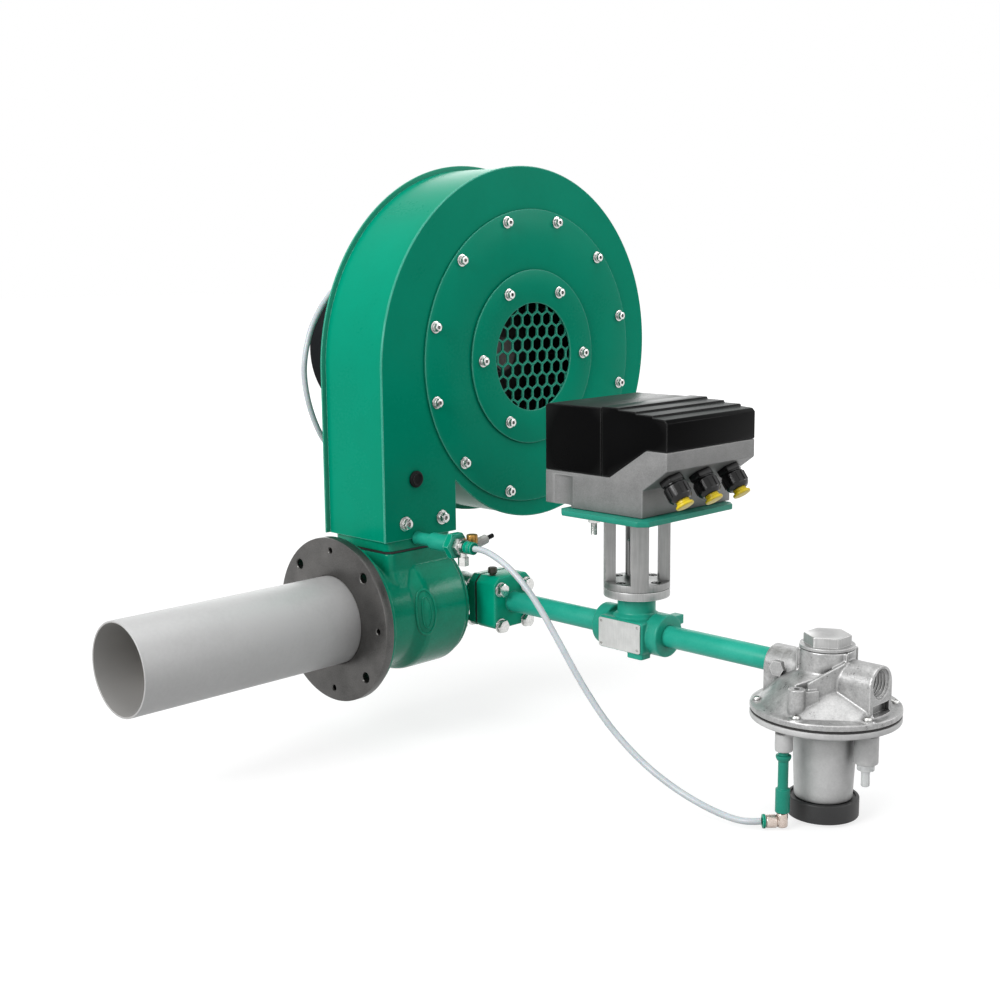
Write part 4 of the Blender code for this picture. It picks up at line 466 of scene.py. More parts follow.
def rod(radius, low, high, centre=(0.0, 0.0), sides=48):
    return drawn(polygon(sides, radius, centre, 1.7), low, high)


def collected(shapes):
    """Several closed meshes that lie apart, held in one."""
    everything = bmesh.new()
    for shape in shapes:
        mesh = bpy.data.meshes.new("gathered")
        shape.to_mesh(mesh)
        shape.free()
        everything.from_mesh(mesh)
        bpy.data.meshes.remove(mesh)
    return everything


def settle(thing):
    """Turns a piece's modifiers into plain mesh."""
    bpy.context.view_layer.update()
    graph = bpy.context.evaluated_depsgraph_get()
    mesh = bpy.data.meshes.new_from_object(thing.evaluated_get(graph))
    thing.modifiers.clear()
    thing.data = mesh
    smoothed(thing)


def combine(thing, shape, operation, at=None, turn=None):
    """Joins a shape to a piece, or cuts it away, in the piece's own frame unless told."""
    place = thing.matrix_world.to_translation() if at is None else at
    rotation = thing.matrix_world.to_euler() if turn is None else turn
    tool = as_object("tool", shape, place, rotation)
    modifier = thing.modifiers.new("join", "BOOLEAN")
    modifier.operation = operation
    modifier.solver = "MANIFOLD"
    modifier.object = tool
    settle(thing)
    bpy.data.objects.remove(tool)


def cut(thing, shape, at=None, turn=None):
    combine(thing, shape, "DIFFERENCE", at, turn)


def fuse(thing, shape, at=None, turn=None):
    combine(thing, shape, "UNION", at, turn)


def cutting_rings(material, pitch, depth):
    """Adds the fine rings that a lathe leaves about the piece's own z."""
    tree = material.node_tree
    place = add_node(tree, "TexCoord").outputs["Object"]
    waves = add_node(tree, "TexWave", Vector=place, Scale=1.0 / pitch / math.tau, Distortion=0.4, Detail=2.0)
    waves.wave_type = "RINGS"
    waves.rings_direction = "Z"
    relief = add_node(tree, "Bump", Height=waves.outputs["Fac"], Distance=depth)
    wire(tree, tree.nodes["Principled BSDF"], Normal=relief)


flange_steel = finish(
    "flange_steel", "dark_steel", (0.070, 0.068, 0.066), (0.135, 0.131, 0.127), rough=(0.30, 0.42),
    cloud=22.0, grain=700.0, metallic=0.85, tint=0.35, Anisotropic=0.6,
)
cutting_rings(flange_steel, 0.0007, 0.00002)
flange_ring = ring(FLANGE_RADIUS, TUBE_RADIUS + GAP, 0.0, FLANGE_THICKNESS, 0.0008, 192)
flange = piece("flange_ring", "mounting_flange", flange_ring, flange_steel, turn=ALONG_X)
flange_holes = []
sinks = []
for hole_radius, first_angle in ((WALL_HOLE, 45), (SCREW_HOLE, 0)):
    for centre in polygon(4, HOLE_CIRCLE, turn=first_angle):
        flange_holes.append(rod(hole_radius, -CUT_THROUGH, FLANGE_THICKNESS + CUT_THROUGH, centre))
        wide = polygon(48, hole_radius + 2 * COUNTERSINK, centre, 1.7)
        sinks.append(lofted(wide, -COUNTERSINK, polygon(48, hole_radius, centre, 1.7), COUNTERSINK))
cut(flange, collected(flange_holes))
cut(flange, collected(sinks))

# Burner body: an iron casting in thick green enamel. A flange, a nose, a fuller barrel and a
# rectangular neck run into each other in soft fillets. The cast oval on its side is bare.
BODY_FRONT = 0.0103
BODY_END = 0.126
BODY_FLANGE_RADIUS = 0.079
BODY_FLANGE_END = 0.0168
NOSE_RADIUS = 0.0575
BARREL_RADIUS = 0.0655
BARREL_START = 0.070
NECK_FRONT = 0.040
NECK_REAR = 0.1257
NECK_HALF_WIDTH = 0.042
NECK_CORNER = 0.008
NECK_FOOT = 0.046
NECK_TOP = 0.0658
SKIRT_FOOT = 0.012
BODY_WALL = 0.006
OVAL_PLACE = (0.0712, 0.0050)
OVAL_BEADS = ((0.0098, 0.0228, 0.0015), (0.0046, 0.0160, 0.0009))
OVAL_STEPS = 72
BEAD_SIDES = 12


def rounded_rectangle(left, right, bottom, top, radius, steps=8):
    """A rectangle whose corners are arcs."""
    centres = [
        (right - radius, bottom + radius, -90),
        (right - radius, top - radius, 0),
        (left + radius, top - radius, 90),
        (left + radius, bottom + radius, 180),
    ]
    outline = []
    for x, y, first in centres:
        for step in range(steps + 1):
            angle = math.radians(first + 90 * step / steps)
            outline.append((x + radius * math.cos(angle), y + radius * math.sin(angle)))
    return outline


def neck_outline(grow=0.0):
    """The neck's plan, with x along the burner and y across it."""
    half = NECK_HALF_WIDTH + grow
    return rounded_rectangle(NECK_FRONT - grow, NECK_REAR + grow, -half, half, NECK_CORNER + grow)


def cast(thing, voxel, rounds):
    """Runs a piece's shapes into one another in soft fillets, as a casting does."""
    remesh = thing.modifiers.new("remesh", "REMESH")
    remesh.mode = "VOXEL"
    remesh.voxel_size = voxel
    smooth = thing.modifiers.new("smooth", "SMOOTH")
    smooth.factor = 0.5
    smooth.iterations = rounds
    settle(thing)


green_enamel = finish(
    "green_enamel", "green_paint", (0.0, 0.280, 0.168), (0.0, 0.315, 0.192), rough=(0.24, 0.34),
    cloud=7.0, grain=330.0, depth=0.00005, hollow_shade=0.45, tint=0.2, worn=(0.24, 0.68, 0.56),
    Specular_IOR_Level=0.05,
)
cast_enamel = finish(
    "cast_enamel", "green_paint", (0.0, 0.262, 0.152), (0.004, 0.328, 0.200), rough=(0.16, 0.26),
    cloud=26.0, grain=420.0, depth=0.00016, hollow_shade=0.6, tint=0.3, Specular_IOR_Level=0.17,
)
body_profile = [
    (BODY_FLANGE_RADIUS, BODY_FRONT),
    (BODY_FLANGE_RADIUS, BODY_FLANGE_END),
    (NOSE_RADIUS + 0.008, BODY_FLANGE_END + 0.002),
    (NOSE_RADIUS + 0.0025, BODY_FLANGE_END + 0.006),
    (NOSE_RADIUS, BODY_FLANGE_END + 0.012),
    (NOSE_RADIUS, BARREL_START - 0.010),
    (NOSE_RADIUS + 0.0024, BARREL_START - 0.005),
    (BARREL_RADIUS - 0.001, BARREL_START + 0.001),
    (BARREL_RADIUS, BARREL_START + 0.006),
    (BARREL_RADIUS, BODY_END - 0.003),
    (BARREL_RADIUS - 0.002, BODY_END),
]
body = piece("burner_casting", "burner_body", turned(body_profile, sides=128), cast_enamel, turn=ALONG_X)
fuse(body, drawn(neck_outline(), NECK_FOOT, NECK_TOP), turn=UPRIGHT)
skirt_low = rounded_rectangle(NECK_FRONT, NECK_REAR - 0.004, -0.056, 0.056, NECK_CORNER)
skirt_high = rounded_rectangle(NECK_FRONT, NECK_REAR - 0.004, -0.0425, 0.0425, NECK_CORNER)
fuse(body, lofted(skirt_low, SKIRT_FOOT, skirt_high, NECK_FOOT), turn=UPRIGHT)
cast(body, 0.0011, 5)
cut(body, drawn(neck_outline(-BODY_WALL), 0.0, NECK_TOP + CUT_THROUGH), turn=UPRIGHT)
air_way = [
    (TUBE_BORE, BODY_FRONT - CUT_THROUGH),
    (TUBE_BORE, BODY_FRONT + BODY_WALL),
    (NOSE_RADIUS - BODY_WALL, BODY_FRONT + 2 * BODY_WALL),
    (NOSE_RADIUS - BODY_WALL, BODY_END + CUT_THROUGH),
]
cut(body, turned(air_way))


def skin_point(x, z):
    """Where the body's skin lies at a place in front view, and which way it faces."""
    inward = body.matrix_world.inverted()
    start = inward @ Vector((x, -0.2, z))
    place, normal = body.ray_cast(start, inward.to_3x3() @ Vector((0.0, 1.0, 0.0)))[1:3]
    return body.matrix_world @ place, (body.matrix_world.to_3x3() @ normal).normalized()


def oval_bead(half_width, half_height, radius):
    """A raised bead that follows the body's skin round an oval."""
    bead = bmesh.new()
    rows = []
    for step in range(OVAL_STEPS):
        turn = math.tau * step / OVAL_STEPS
        along = Vector((-half_width * math.sin(turn), 0.0, half_height * math.cos(turn))).normalized()
        x = OVAL_PLACE[0] + half_width * math.cos(turn)
        middle, outward = skin_point(x, OVAL_PLACE[1] + half_height * math.sin(turn))
        across = outward.cross(along).normalized()
        row = []
        for part in range(BEAD_SIDES):
            lean = math.tau * part / BEAD_SIDES
            offset = across * math.cos(lean) + 0.8 * outward * math.sin(lean)
            row.append(bead.verts.new(middle + radius * offset))
        rows.append(row)
    for row, following in zip(rows, rows[1:] + rows[:1]):
        for part in range(BEAD_SIDES):
            after = (part + 1) % BEAD_SIDES
            bead.faces.new((row[part], row[after], following[after], following[part]))
    return facing_out(bead)


bpy.context.view_layer.update()
piece("burner_oval_rim", None, collected([oval_bead(*bead) for bead in OVAL_BEADS]), cast_enamel)

# Gasket and adapter: a cast piece in the same green that widens from the body's neck to the fan
# duct, on a thin black gasket that shows as a line.
ADAPTER_FLARE = 0.0016
GASKET_PRESS = 0.0002
gasket_low, gasket_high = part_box("duct_gasket")
adapter_low, adapter_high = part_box("duct_adapter")
gasket_rubber = finish(
    "gasket_rubber", "black_rubber", (0.008, 0.008, 0.008), (0.022, 0.020, 0.018), rough=(0.6, 0.8),
    cloud=90.0, grain=1500.0, depth=0.00005,
)
gasket_sheet = drawn(neck_outline(-0.0004), gasket_low.z - GASKET_PRESS, gasket_high.z + GASKET_PRESS)
gasket = piece("duct_gasket_sheet", "duct_gasket", gasket_sheet, gasket_rubber)
cut(gasket, drawn(neck_outline(-BODY_WALL), 0.0, 1.0))


def bevelled(thing, width, segments=3, angle=40):
    """Rounds the sharp edges that a piece has."""
    modifier = thing.modifiers.new("soften", "BEVEL")
    modifier.width = width
    modifier.segments = segments
    modifier.limit_method = "ANGLE"
    modifier.angle_limit = math.radians(angle)
    settle(thing)


flared = lofted(neck_outline(), adapter_low.z, neck_outline(ADAPTER_FLARE), adapter_high.z)
adapter = piece("duct_adapter_casting", "duct_adapter", flared, cast_enamel)
bevelled(adapter, 0.0010)
cut(adapter, drawn(neck_outline(-BODY_WALL), 0.0, 1.0))

# Fan casing: sheet steel bent round a scroll that opens into the square duct, with a folded front
# and a flat back plate that stands a little past the wrap. Gloss green enamel.
ALONG_FRONT = (math.radians(90), 0.0, 0.0)
DUCT_LEFT = 0.0361
DUCT_WIDTH = 0.094
DUCT_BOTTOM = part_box("fan_casing")[0].z
CASING_HALF_DEPTH = 0.0439
SHEET = 0.002
FRONT_LIP = 0.0015
FRONT_FOLD = 0.0007
BACK_LIP = 0.005
SCROLL_START_RADIUS = 0.164
SCROLL_END_RADIUS = 0.2087
SCROLL_START_ANGLE = -125.0
SCROLL_GROWTH = 0.9
CASING_MOUTH_RADIUS = 0.140
FAN_X = DUCT_LEFT + SCROLL_END_RADIUS
FAN_Z = 0.2500
FAN_CENTRE = (FAN_X, 0.0, FAN_Z)
ON_FAN = (FAN_CENTRE, ALONG_FRONT)


def scroll_radius(angle):
    """The casing's radius about the fan's axis, at an angle in degrees from +X."""
    opened = max(0.0, angle - SCROLL_START_ANGLE) / (180.0 - SCROLL_START_ANGLE)
    return SCROLL_START_RADIUS + (SCROLL_END_RADIUS - SCROLL_START_RADIUS) * opened**SCROLL_GROWTH


def scroll_outline(offset, bottom=DUCT_BOTTOM, steps=140):
    """The casing's side view about the fan's axis, from the tongue round to the duct's open end."""
    right = DUCT_LEFT + DUCT_WIDTH - FAN_X + offset
    tongue = SCROLL_START_ANGLE
    for _ in range(8):
        tongue = -math.degrees(math.acos(right / (scroll_radius(tongue) + offset)))
    outline = []
    for step in range(steps + 1):
        angle = tongue + (180.0 - tongue) * step / steps
        radius = scroll_radius(angle) + offset
        turn = math.radians(angle)
        outline.append((radius * math.cos(turn), radius * math.sin(turn)))
    low = bottom - FAN_Z
    return outline + [(DUCT_LEFT - FAN_X - offset, low), (right, low)]


casing_block = drawn(scroll_outline(0.0), -CASING_HALF_DEPTH, CASING_HALF_DEPTH - SHEET + 0.0005)
casing = piece("fan_casing_shell", "fan_casing", casing_block, green_enamel, *ON_FAN)
front_outline = scroll_outline(FRONT_LIP)
fold_start = CASING_HALF_DEPTH - FRONT_FOLD
fold_outline = scroll_outline(FRONT_LIP - FRONT_FOLD)
fuse(casing, drawn(front_outline, CASING_HALF_DEPTH - SHEET, fold_start))
fuse(casing, lofted(front_outline, fold_start - 0.0001, fold_outline, CASING_HALF_DEPTH))
casing_inside = scroll_outline(-SHEET, DUCT_BOTTOM - CUT_THROUGH)
cut(casing, drawn(casing_inside, -CASING_HALF_DEPTH - CUT_THROUGH, CASING_HALF_DEPTH - SHEET))
cut(casing, rod(CASING_MOUTH_RADIUS, 0.0, CASING_HALF_DEPTH + CUT_THROUGH, sides=96))
back_sheet = drawn(scroll_outline(BACK_LIP), -CASING_HALF_DEPTH - 0.0023, -CASING_HALF_DEPTH - GAP)
back_plate = piece("fan_back_plate_sheet", "fan_back_plate", back_sheet, green_enamel, *ON_FAN)
bevelled(back_plate, 0.0006, 2)
cut(back_plate, rod(0.024, -0.06, 0.0))

# Air inlet: a cover plate on twelve screws, a stamped honeycomb guard, and a clamping ring on six
# more. The screws are zinc plated, on washers, with a socket in the head.
COVER_BACK = CASING_HALF_DEPTH + GAP
COVER_RADIUS = 0.1544
COVER_MOUTH_RADIUS = 0.084
COVER_SCREW_CIRCLE = 0.1454
RING_BACK = COVER_BACK + SHEET + GAP
RING_RADIUS = 0.0918
RING_SCREW_CIRCLE = 0.0768
MOUTH_RADIUS = 0.0569
GUARD_RADIUS = 0.080
HONEYCOMB_PITCH = 0.015
HONEYCOMB_ROW = HONEYCOMB_PITCH * 0.866
HONEYCOMB_WALL = 0.0019
DUCT_SCREW_Z = 0.0945 - FAN_Z
cover_plate = ring(COVER_RADIUS, COVER_MOUTH_RADIUS, COVER_BACK, COVER_BACK + SHEET, 0.0007, 192)
piece("inlet_cover_plate", "inlet_cover", cover_plate, green_enamel, *ON_FAN)
clamping_ring = ring(RING_RADIUS, MOUTH_RADIUS, RING_BACK, RING_BACK + SHEET, 0.0006, 160)
piece("inlet_clamping_ring", "inlet_ring", clamping_ring, green_enamel, *ON_FAN)
guard_disc = drawn(polygon(96, GUARD_RADIUS), COVER_BACK, COVER_BACK + SHEET)
guard = piece("inlet_guard_mesh", "inlet_guard", guard_disc, green_enamel, *ON_FAN)
cells = []
cell_rows = math.ceil(MOUTH_RADIUS / HONEYCOMB_ROW) + 1
for cell_row in range(-cell_rows, cell_rows + 1):
    for cell_column in range(-cell_rows, cell_rows + 1):
        cell_x = (cell_column + 0.5 * (cell_row % 2)) * HONEYCOMB_PITCH
        cell_y = cell_row * HONEYCOMB_ROW
        if math.hypot(cell_x, cell_y) < MOUTH_RADIUS + HONEYCOMB_PITCH / 3:
            hexagon = polygon(6, (HONEYCOMB_PITCH - HONEYCOMB_WALL) / math.sqrt(3), (cell_x, cell_y), 90)
            cell = eased(hexagon, 0.001, steps=2)
            cells.append(drawn(cell, COVER_BACK - CUT_THROUGH, COVER_BACK + CUT_THROUGH))
cut(guard, collected(cells))
zinc_plate = finish(
    "zinc_plate", "zinc", (0.50, 0.50, 0.49), (0.80, 0.80, 0.78), rough=(0.16, 0.34), cloud=350.0,
    grain=1600.0, depth=0.00003, metallic=1.0, hollow_shade=0.5,
)


def taken(thing):
    """A thing's mesh, ready for a piece, with the thing itself removed."""
    shape = bmesh.new()
    shape.from_mesh(thing.data)
    bpy.data.objects.remove(thing)
    return shape


def hexagon_head(radius, height, chamfer=0.14):
    """A hexagon head with its top corners turned off by a share of its radius."""
    head = as_object("head", drawn(polygon(6, radius), 0.0, height))
    shoulder = height - (0.1 + chamfer) * radius * 0.6
    top = [(1.1 * radius, -height), (1.1 * radius, shoulder), ((1.0 - chamfer) * radius, height)]
    combine(head, turned(top, sides=48), "INTERSECT")
    return taken(head)


def socket_screw(head_radius, head_height, washer_radius):
    """A screw head with its washer beneath and a hexagon socket in its top."""
    washer = ring(washer_radius, 0.001, 0.0, 0.0010, 0.0003, 32)
    head = as_object("head", turned([(head_radius, 0.0008), (head_radius, 0.0030)], 0.0005, 32))
    fuse(head, hexagon_head(head_radius * 0.96, head_height))
    socket = polygon(6, head_radius * 0.45, turn=20)
    cut(head, drawn(socket, head_height - 0.0022, head_height + CUT_THROUGH))
    return collected([taken(head), washer])


def placed(shape, places, twist=37.0):
    """Copies of one closed mesh at places, each turned a little further than the last."""
    mesh = bpy.data.meshes.new("master")
    shape.to_mesh(mesh)
    shape.free()
    group = bmesh.new()
    for index, place in enumerate(places):
        copy = mesh.copy()
        copy.transform(Matrix.Translation(place) @ Matrix.Rotation(math.radians(twist * index), 4, "Z"))
        group.from_mesh(copy)
        bpy.data.meshes.remove(copy)
    bpy.data.meshes.remove(mesh)
    return group


def fasteners(name, shape, places, at=ORIGIN, turn=UPRIGHT, twist=37.0):
    """Plated fasteners of one kind, each at its own place."""
    piece(name, None, placed(shape, places, twist), zinc_plate, at, turn)


def on_circle(count, radius, height, turn=0.0):
    return [(x, y, height) for x, y in polygon(count, radius, turn=turn)]


def on_corners(columns, rows, height):
    return [(x, y, height) for x in columns for y in rows]


cover_screws = on_circle(12, COVER_SCREW_CIRCLE, COVER_BACK + SHEET, 15)
ring_screws = on_circle(6, RING_SCREW_CIRCLE, RING_BACK + SHEET)
fasteners("inlet_screws", socket_screw(0.0046, 0.0058, 0.0062), cover_screws + ring_screws, *ON_FAN)
duct_screws = [(x - FAN_X, DUCT_SCREW_Z, CASING_HALF_DEPTH) for x in (0.061, 0.111)]
fasteners("duct_screws", socket_screw(0.0056, 0.0066, 0.0074), duct_screws, *ON_FAN)

# Duct plug: a black moulded plug, round and a little dished, pressed into the duct's front wall to
# close the hole there.
black_moulding = finish(
    "black_moulding", "black_plastic", (0.004, 0.004, 0.0045), (0.0085, 0.0085, 0.009),
    rough=(0.38, 0.5), cloud=30.0, grain=1400.0, depth=0.00004, Specular_IOR_Level=0.12,
)
plug_low, plug_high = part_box("casing_plug")
plug_centre = (plug_low + plug_high) / 2
plug_radius = (plug_high.x - plug_low.x) / 2
plug_profile = [(plug_radius, 0.0), (plug_radius, 0.002), (0.0062, 0.0034), (0.0044, 0.0022)]
plug_place = (plug_centre.x, plug_high.y, plug_centre.z)
piece("duct_plug", "casing_plug", turned(plug_profile, 0.0008, 48), black_moulding, plug_place, ALONG_FRONT)

# Fan wheel and shaft: the wheel is sheet seen through the guard, on a plain steel shaft. Both
# stay as the solids are, each with a finish darker than its metal, painted shade for the inside of the fan.
shaded_wheel = finish(
    "shaded_wheel", None, (0.006, 0.006, 0.006), (0.018, 0.016, 0.015), rough=(0.4, 0.6), cloud=40.0,
    grain=800.0, depth=0.00005, metallic=0.2, hollow_shade=0.5,
)
shaded_hub_steel = finish(
    "shaded_hub_steel", None, (0.05, 0.048, 0.045), (0.10, 0.095, 0.09), rough=(0.3, 0.45), cloud=60.0,
    grain=900.0, depth=0.00002, metallic=0.8,
)


def dress(material, *names):
    """Gives solids that stay their own finish."""
    for name in names:
        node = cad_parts[name]
        if not node.material_slots:
            node.data.materials.append(material)
        for slot in node.material_slots:
            slot.link = "OBJECT"
            slot.material = material


dress(shaded_wheel, "impeller")
dress(shaded_hub_steel, "motor_shaft")

# Motor: a finned housing on a round flange, a pressed cowl over its cooling fan and a square
# terminal box. Dull black paint all over, with bright flange screws.
ALONG_REAR = (math.radians(-90), 0.0, 0.0)
BEHIND_FAN = (FAN_CENTRE, ALONG_REAR)
MOTOR_FLANGE_RADIUS = 0.080
MOTOR_CORE_RADIUS = 0.067
MOTOR_FIN_RADIUS = 0.0795
MOTOR_FINS = 24
COWL_RADIUS = 0.0826
COWL_WALL = 0.0018
COWL_SLOTS = ((0.016, 0.036, 12), (0.041, 0.052, 24), (0.056, 0.068, 24))
SHAFT_HOLE = 0.0126
motor_flange_low, motor_flange_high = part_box("motor_flange")
housing_low, housing_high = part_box("motor_housing")
cowl_low, cowl_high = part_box("motor_fan_cowl")
box_low, box_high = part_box("terminal_box")
motor_paint = finish(
    "motor_paint", "motor_black", (0.007, 0.0075, 0.0085), (0.014, 0.015, 0.017), rough=(0.66, 0.78),
    cloud=20.0, grain=500.0, depth=0.0001, hollow_shade=0.5, Specular_IOR_Level=0.05,
)
motor_ring = ring(MOTOR_FLANGE_RADIUS, SHAFT_HOLE, motor_flange_low.y, motor_flange_high.y, 0.001, 96)
piece("motor_flange_ring", "motor_flange", motor_ring, motor_paint, *BEHIND_FAN)
fin_half = [(MOTOR_CORE_RADIUS, -4.2), (MOTOR_CORE_RADIUS + 0.001, -2.0), (MOTOR_FIN_RADIUS, -1.3)]
fin_half += [(radius, -lean) for radius, lean in reversed(fin_half)]
fin_outline = []
for fin in range(MOTOR_FINS):
    for radius, lean in fin_half:
        turn = math.radians(360 * fin / MOTOR_FINS + lean)
        fin_outline.append((radius * math.cos(turn), radius * math.sin(turn)))
finned = drawn(fin_outline, housing_low.y, housing_high.y)
motor = piece("motor_casting", "motor_housing", finned, motor_paint, *BEHIND_FAN)
bevelled(motor, 0.0007, 2)
cut(motor, rod(SHAFT_HOLE, housing_low.y - CUT_THROUGH, housing_high.y + CUT_THROUGH))
dress(black_moulding, "motor_cooling_fan")


def cup(radius, low, high, ease):
    """A round solid with only its far edge rounded, as a pressing has."""
    outline = eased([(radius, low), (radius, high), (0.0, high)], ease, False, 8)
    return revolved([(0.0, low)] + outline, 96)


def rectangle(left, right, bottom, top):
    return [(left, bottom), (right, bottom), (right, top), (left, top)]


def spun(points, turn):
    """Points of a plane, turned about its origin."""
    along = math.cos(turn)
    across = math.sin(turn)
    return [(x * along - y * across, x * across + y * along) for x, y in points]


cowl_pressing = cup(COWL_RADIUS, cowl_low.y, cowl_high.y, 0.008)
cowl = piece("motor_cowl_pressing", "motor_fan_cowl", cowl_pressing, motor_paint, *BEHIND_FAN)
cut(cowl, cup(COWL_RADIUS - COWL_WALL, cowl_low.y - CUT_THROUGH, cowl_high.y - COWL_WALL, 0.007))
cowl_slots = []
for slot_ring, (inner, outer, count) in enumerate(COWL_SLOTS):
    for slot_number in range(count):
        turn = math.tau * (slot_number + 0.5 * slot_ring) / count
        outline = eased(spun(rectangle(inner, outer, -0.0022, 0.0022), turn), 0.002, steps=3)
        cowl_slots.append(drawn(outline, cowl_high.y - 0.006, cowl_high.y + CUT_THROUGH))
cut(cowl, collected(cowl_slots))


def box_plan(grow):
    return rounded_rectangle(box_low.x - grow, box_high.x + grow, box_low.y - grow, box_high.y + grow, 0.004)


box_block = drawn(box_plan(0.0), box_low.z, box_high.z)
terminal_box = piece("terminal_box_lid", "terminal_box", box_block, motor_paint)
bevelled(terminal_box, 0.0015, 3)
lid_groove = as_object("groove", drawn(box_plan(0.01), box_high.z - 0.014, box_high.z - 0.013))
cut(lid_groove, drawn(box_plan(-0.0006), 0.0, 1.0))
cut(terminal_box, taken(lid_groove))


def pan_screw(radius, height):
    """A domed screw head with a cross cut in it."""
    dome = as_object("head", turned([(radius, -0.0005), (radius * 0.8, height)], radius * 0.3, 24))
    for quarter in (0.0, 90.0):
        slit = rectangle(-0.62 * radius, 0.62 * radius, -0.1 * radius, 0.1 * radius)
        slit_turn = (0.0, 0.0, math.radians(quarter))
        cut(dome, drawn(slit, height * 0.45, height + CUT_THROUGH), ORIGIN, slit_turn)
    return taken(dome)


lid_columns = (box_low.x + 0.007, box_high.x - 0.007)
lid_rows = (box_low.y + 0.007, box_high.y - 0.007)
fasteners("terminal_box_screws", pan_screw(0.003, 0.0018), on_corners(lid_columns, lid_rows, box_high.z))
motor_screws = on_circle(8, 0.0745, motor_flange_high.y, 22.5)
fasteners("motor_flange_screws", hexagon_head(0.0048, 0.0042), motor_screws, *BEHIND_FAN)

# Rear gas housing: a cast elbow in the same thick enamel. Its round rim closes the body on eight
# plated screws, and its arm turns the gas from the side into the lance.
HOUSING_START = BODY_END + GAP
HOUSING_RIM_RADIUS = 0.0625
HOUSING_RIM = 0.005
ELBOW_RADIUS = 0.0205
ELBOW_NECK_RADIUS = 0.0197
TRAIN_OFFSET = 0.0522
TRAIN_X = BODY_END + TRAIN_OFFSET
TRAIN = (TRAIN_X, 0.0, 0.0)
ON_TRAIN = (TRAIN, ALONG_FRONT)
BOSS_REACH = 0.0492
BOSS_THICKNESS = 0.009
BLOCK_HALF_WIDTH = 0.027
BLOCK_TOP = 0.0283
BLOCK_BOTTOM = 0.0265
BLOCK_CHAMFER = 0.007
BLOCK_CORNER = 0.0035
BOLT_COLUMNS = (-0.0188, 0.0188)
BOLT_LOW = -0.0229
BOLT_HIGH = 0.0155


def block_outline(inset=0.0):
    """The gas block seen along the gas pipe: large chamfers above, small corners below."""
    half = BLOCK_HALF_WIDTH - inset
    low = -BLOCK_BOTTOM + inset
    high = BLOCK_TOP - inset
    return [
        (-half + BLOCK_CORNER, low),
        (half - BLOCK_CORNER, low),
        (half, low + BLOCK_CORNER),
        (half, high - BLOCK_CHAMFER),
        (half - BLOCK_CHAMFER, high),
        (-half + BLOCK_CHAMFER, high),
        (-half, high - BLOCK_CHAMFER),
        (-half, low + BLOCK_CORNER),
    ]


housing_profile = [(0.0, 0.0), (HOUSING_RIM_RADIUS, 0.0), (HOUSING_RIM_RADIUS, HOUSING_RIM)]
housing_profile += [(ELBOW_RADIUS + 0.006, HOUSING_RIM), (ELBOW_RADIUS, HOUSING_RIM + 0.006)]
housing_profile = eased(housing_profile, 0.0015, False)
for dome_step in range(20):
    dome_turn = math.radians(4.5 * dome_step)
    dome_height = TRAIN_OFFSET + ELBOW_RADIUS * math.sin(dome_turn)
    housing_profile.append((ELBOW_RADIUS * math.cos(dome_turn), dome_height))
housing_profile.append((0.0, TRAIN_OFFSET + ELBOW_RADIUS))
on_housing = ((HOUSING_START, 0.0, 0.0), ALONG_X)
housing_block = revolved(housing_profile, 96)
rear_housing = piece("rear_housing_casting", "rear_gas_housing", housing_block, cast_enamel, *on_housing)
fuse(rear_housing, rod(ELBOW_NECK_RADIUS, 0.0, BOSS_REACH - BOSS_THICKNESS / 2, sides=96), *ON_TRAIN)
fuse(rear_housing, drawn(block_outline(GAP), BOSS_REACH - BOSS_THICKNESS, BOSS_REACH), *ON_TRAIN)
cast(rear_housing, 0.0009, 4)
cut(rear_housing, rod(0.008, -0.008, BOSS_REACH + CUT_THROUGH), *ON_TRAIN)
cut(rear_housing, rod(0.0089, -CUT_THROUGH, 0.0203))
cut(rear_housing, rod(0.0066, -CUT_THROUGH, 0.052))
rim_screws = on_circle(8, 0.0555, HOUSING_RIM, 22.5)
fasteners("rear_housing_screws", hexagon_head(0.0042, 0.0036), rim_screws, *on_housing)
boss_nuts = on_corners(BOLT_COLUMNS, (-BOLT_LOW, -BOLT_HIGH), -BOSS_REACH + BOSS_THICKNESS + GAP)
fasteners("rear_housing_nuts", hexagon_head(0.0064, 0.0052), boss_nuts, TRAIN, ALONG_REAR, 17.0)

# Gas block: an eight-sided green block on four hexagon bolts, with a thick black gasket behind it
# and the dark knob of a test point on top. The gas pipe screws into it.
PIPE_RADIUS = 0.0105
PIPE_BORE = 0.008
PIPE_SOCKET = 0.0083
seal_low, seal_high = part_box("gas_block_gasket")
block_low, block_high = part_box("gas_block")
knob_low, knob_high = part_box("gas_test_knob")
BLOCK_END = -block_low.y
seal_shape = drawn(block_outline(0.001), -seal_high.y - GASKET_PRESS, -seal_low.y + GASKET_PRESS)
block_seal = piece("gas_block_seal", "gas_block_gasket", seal_shape, gasket_rubber, *ON_TRAIN)
cut(block_seal, rod(PIPE_BORE, 0.0, 0.2))
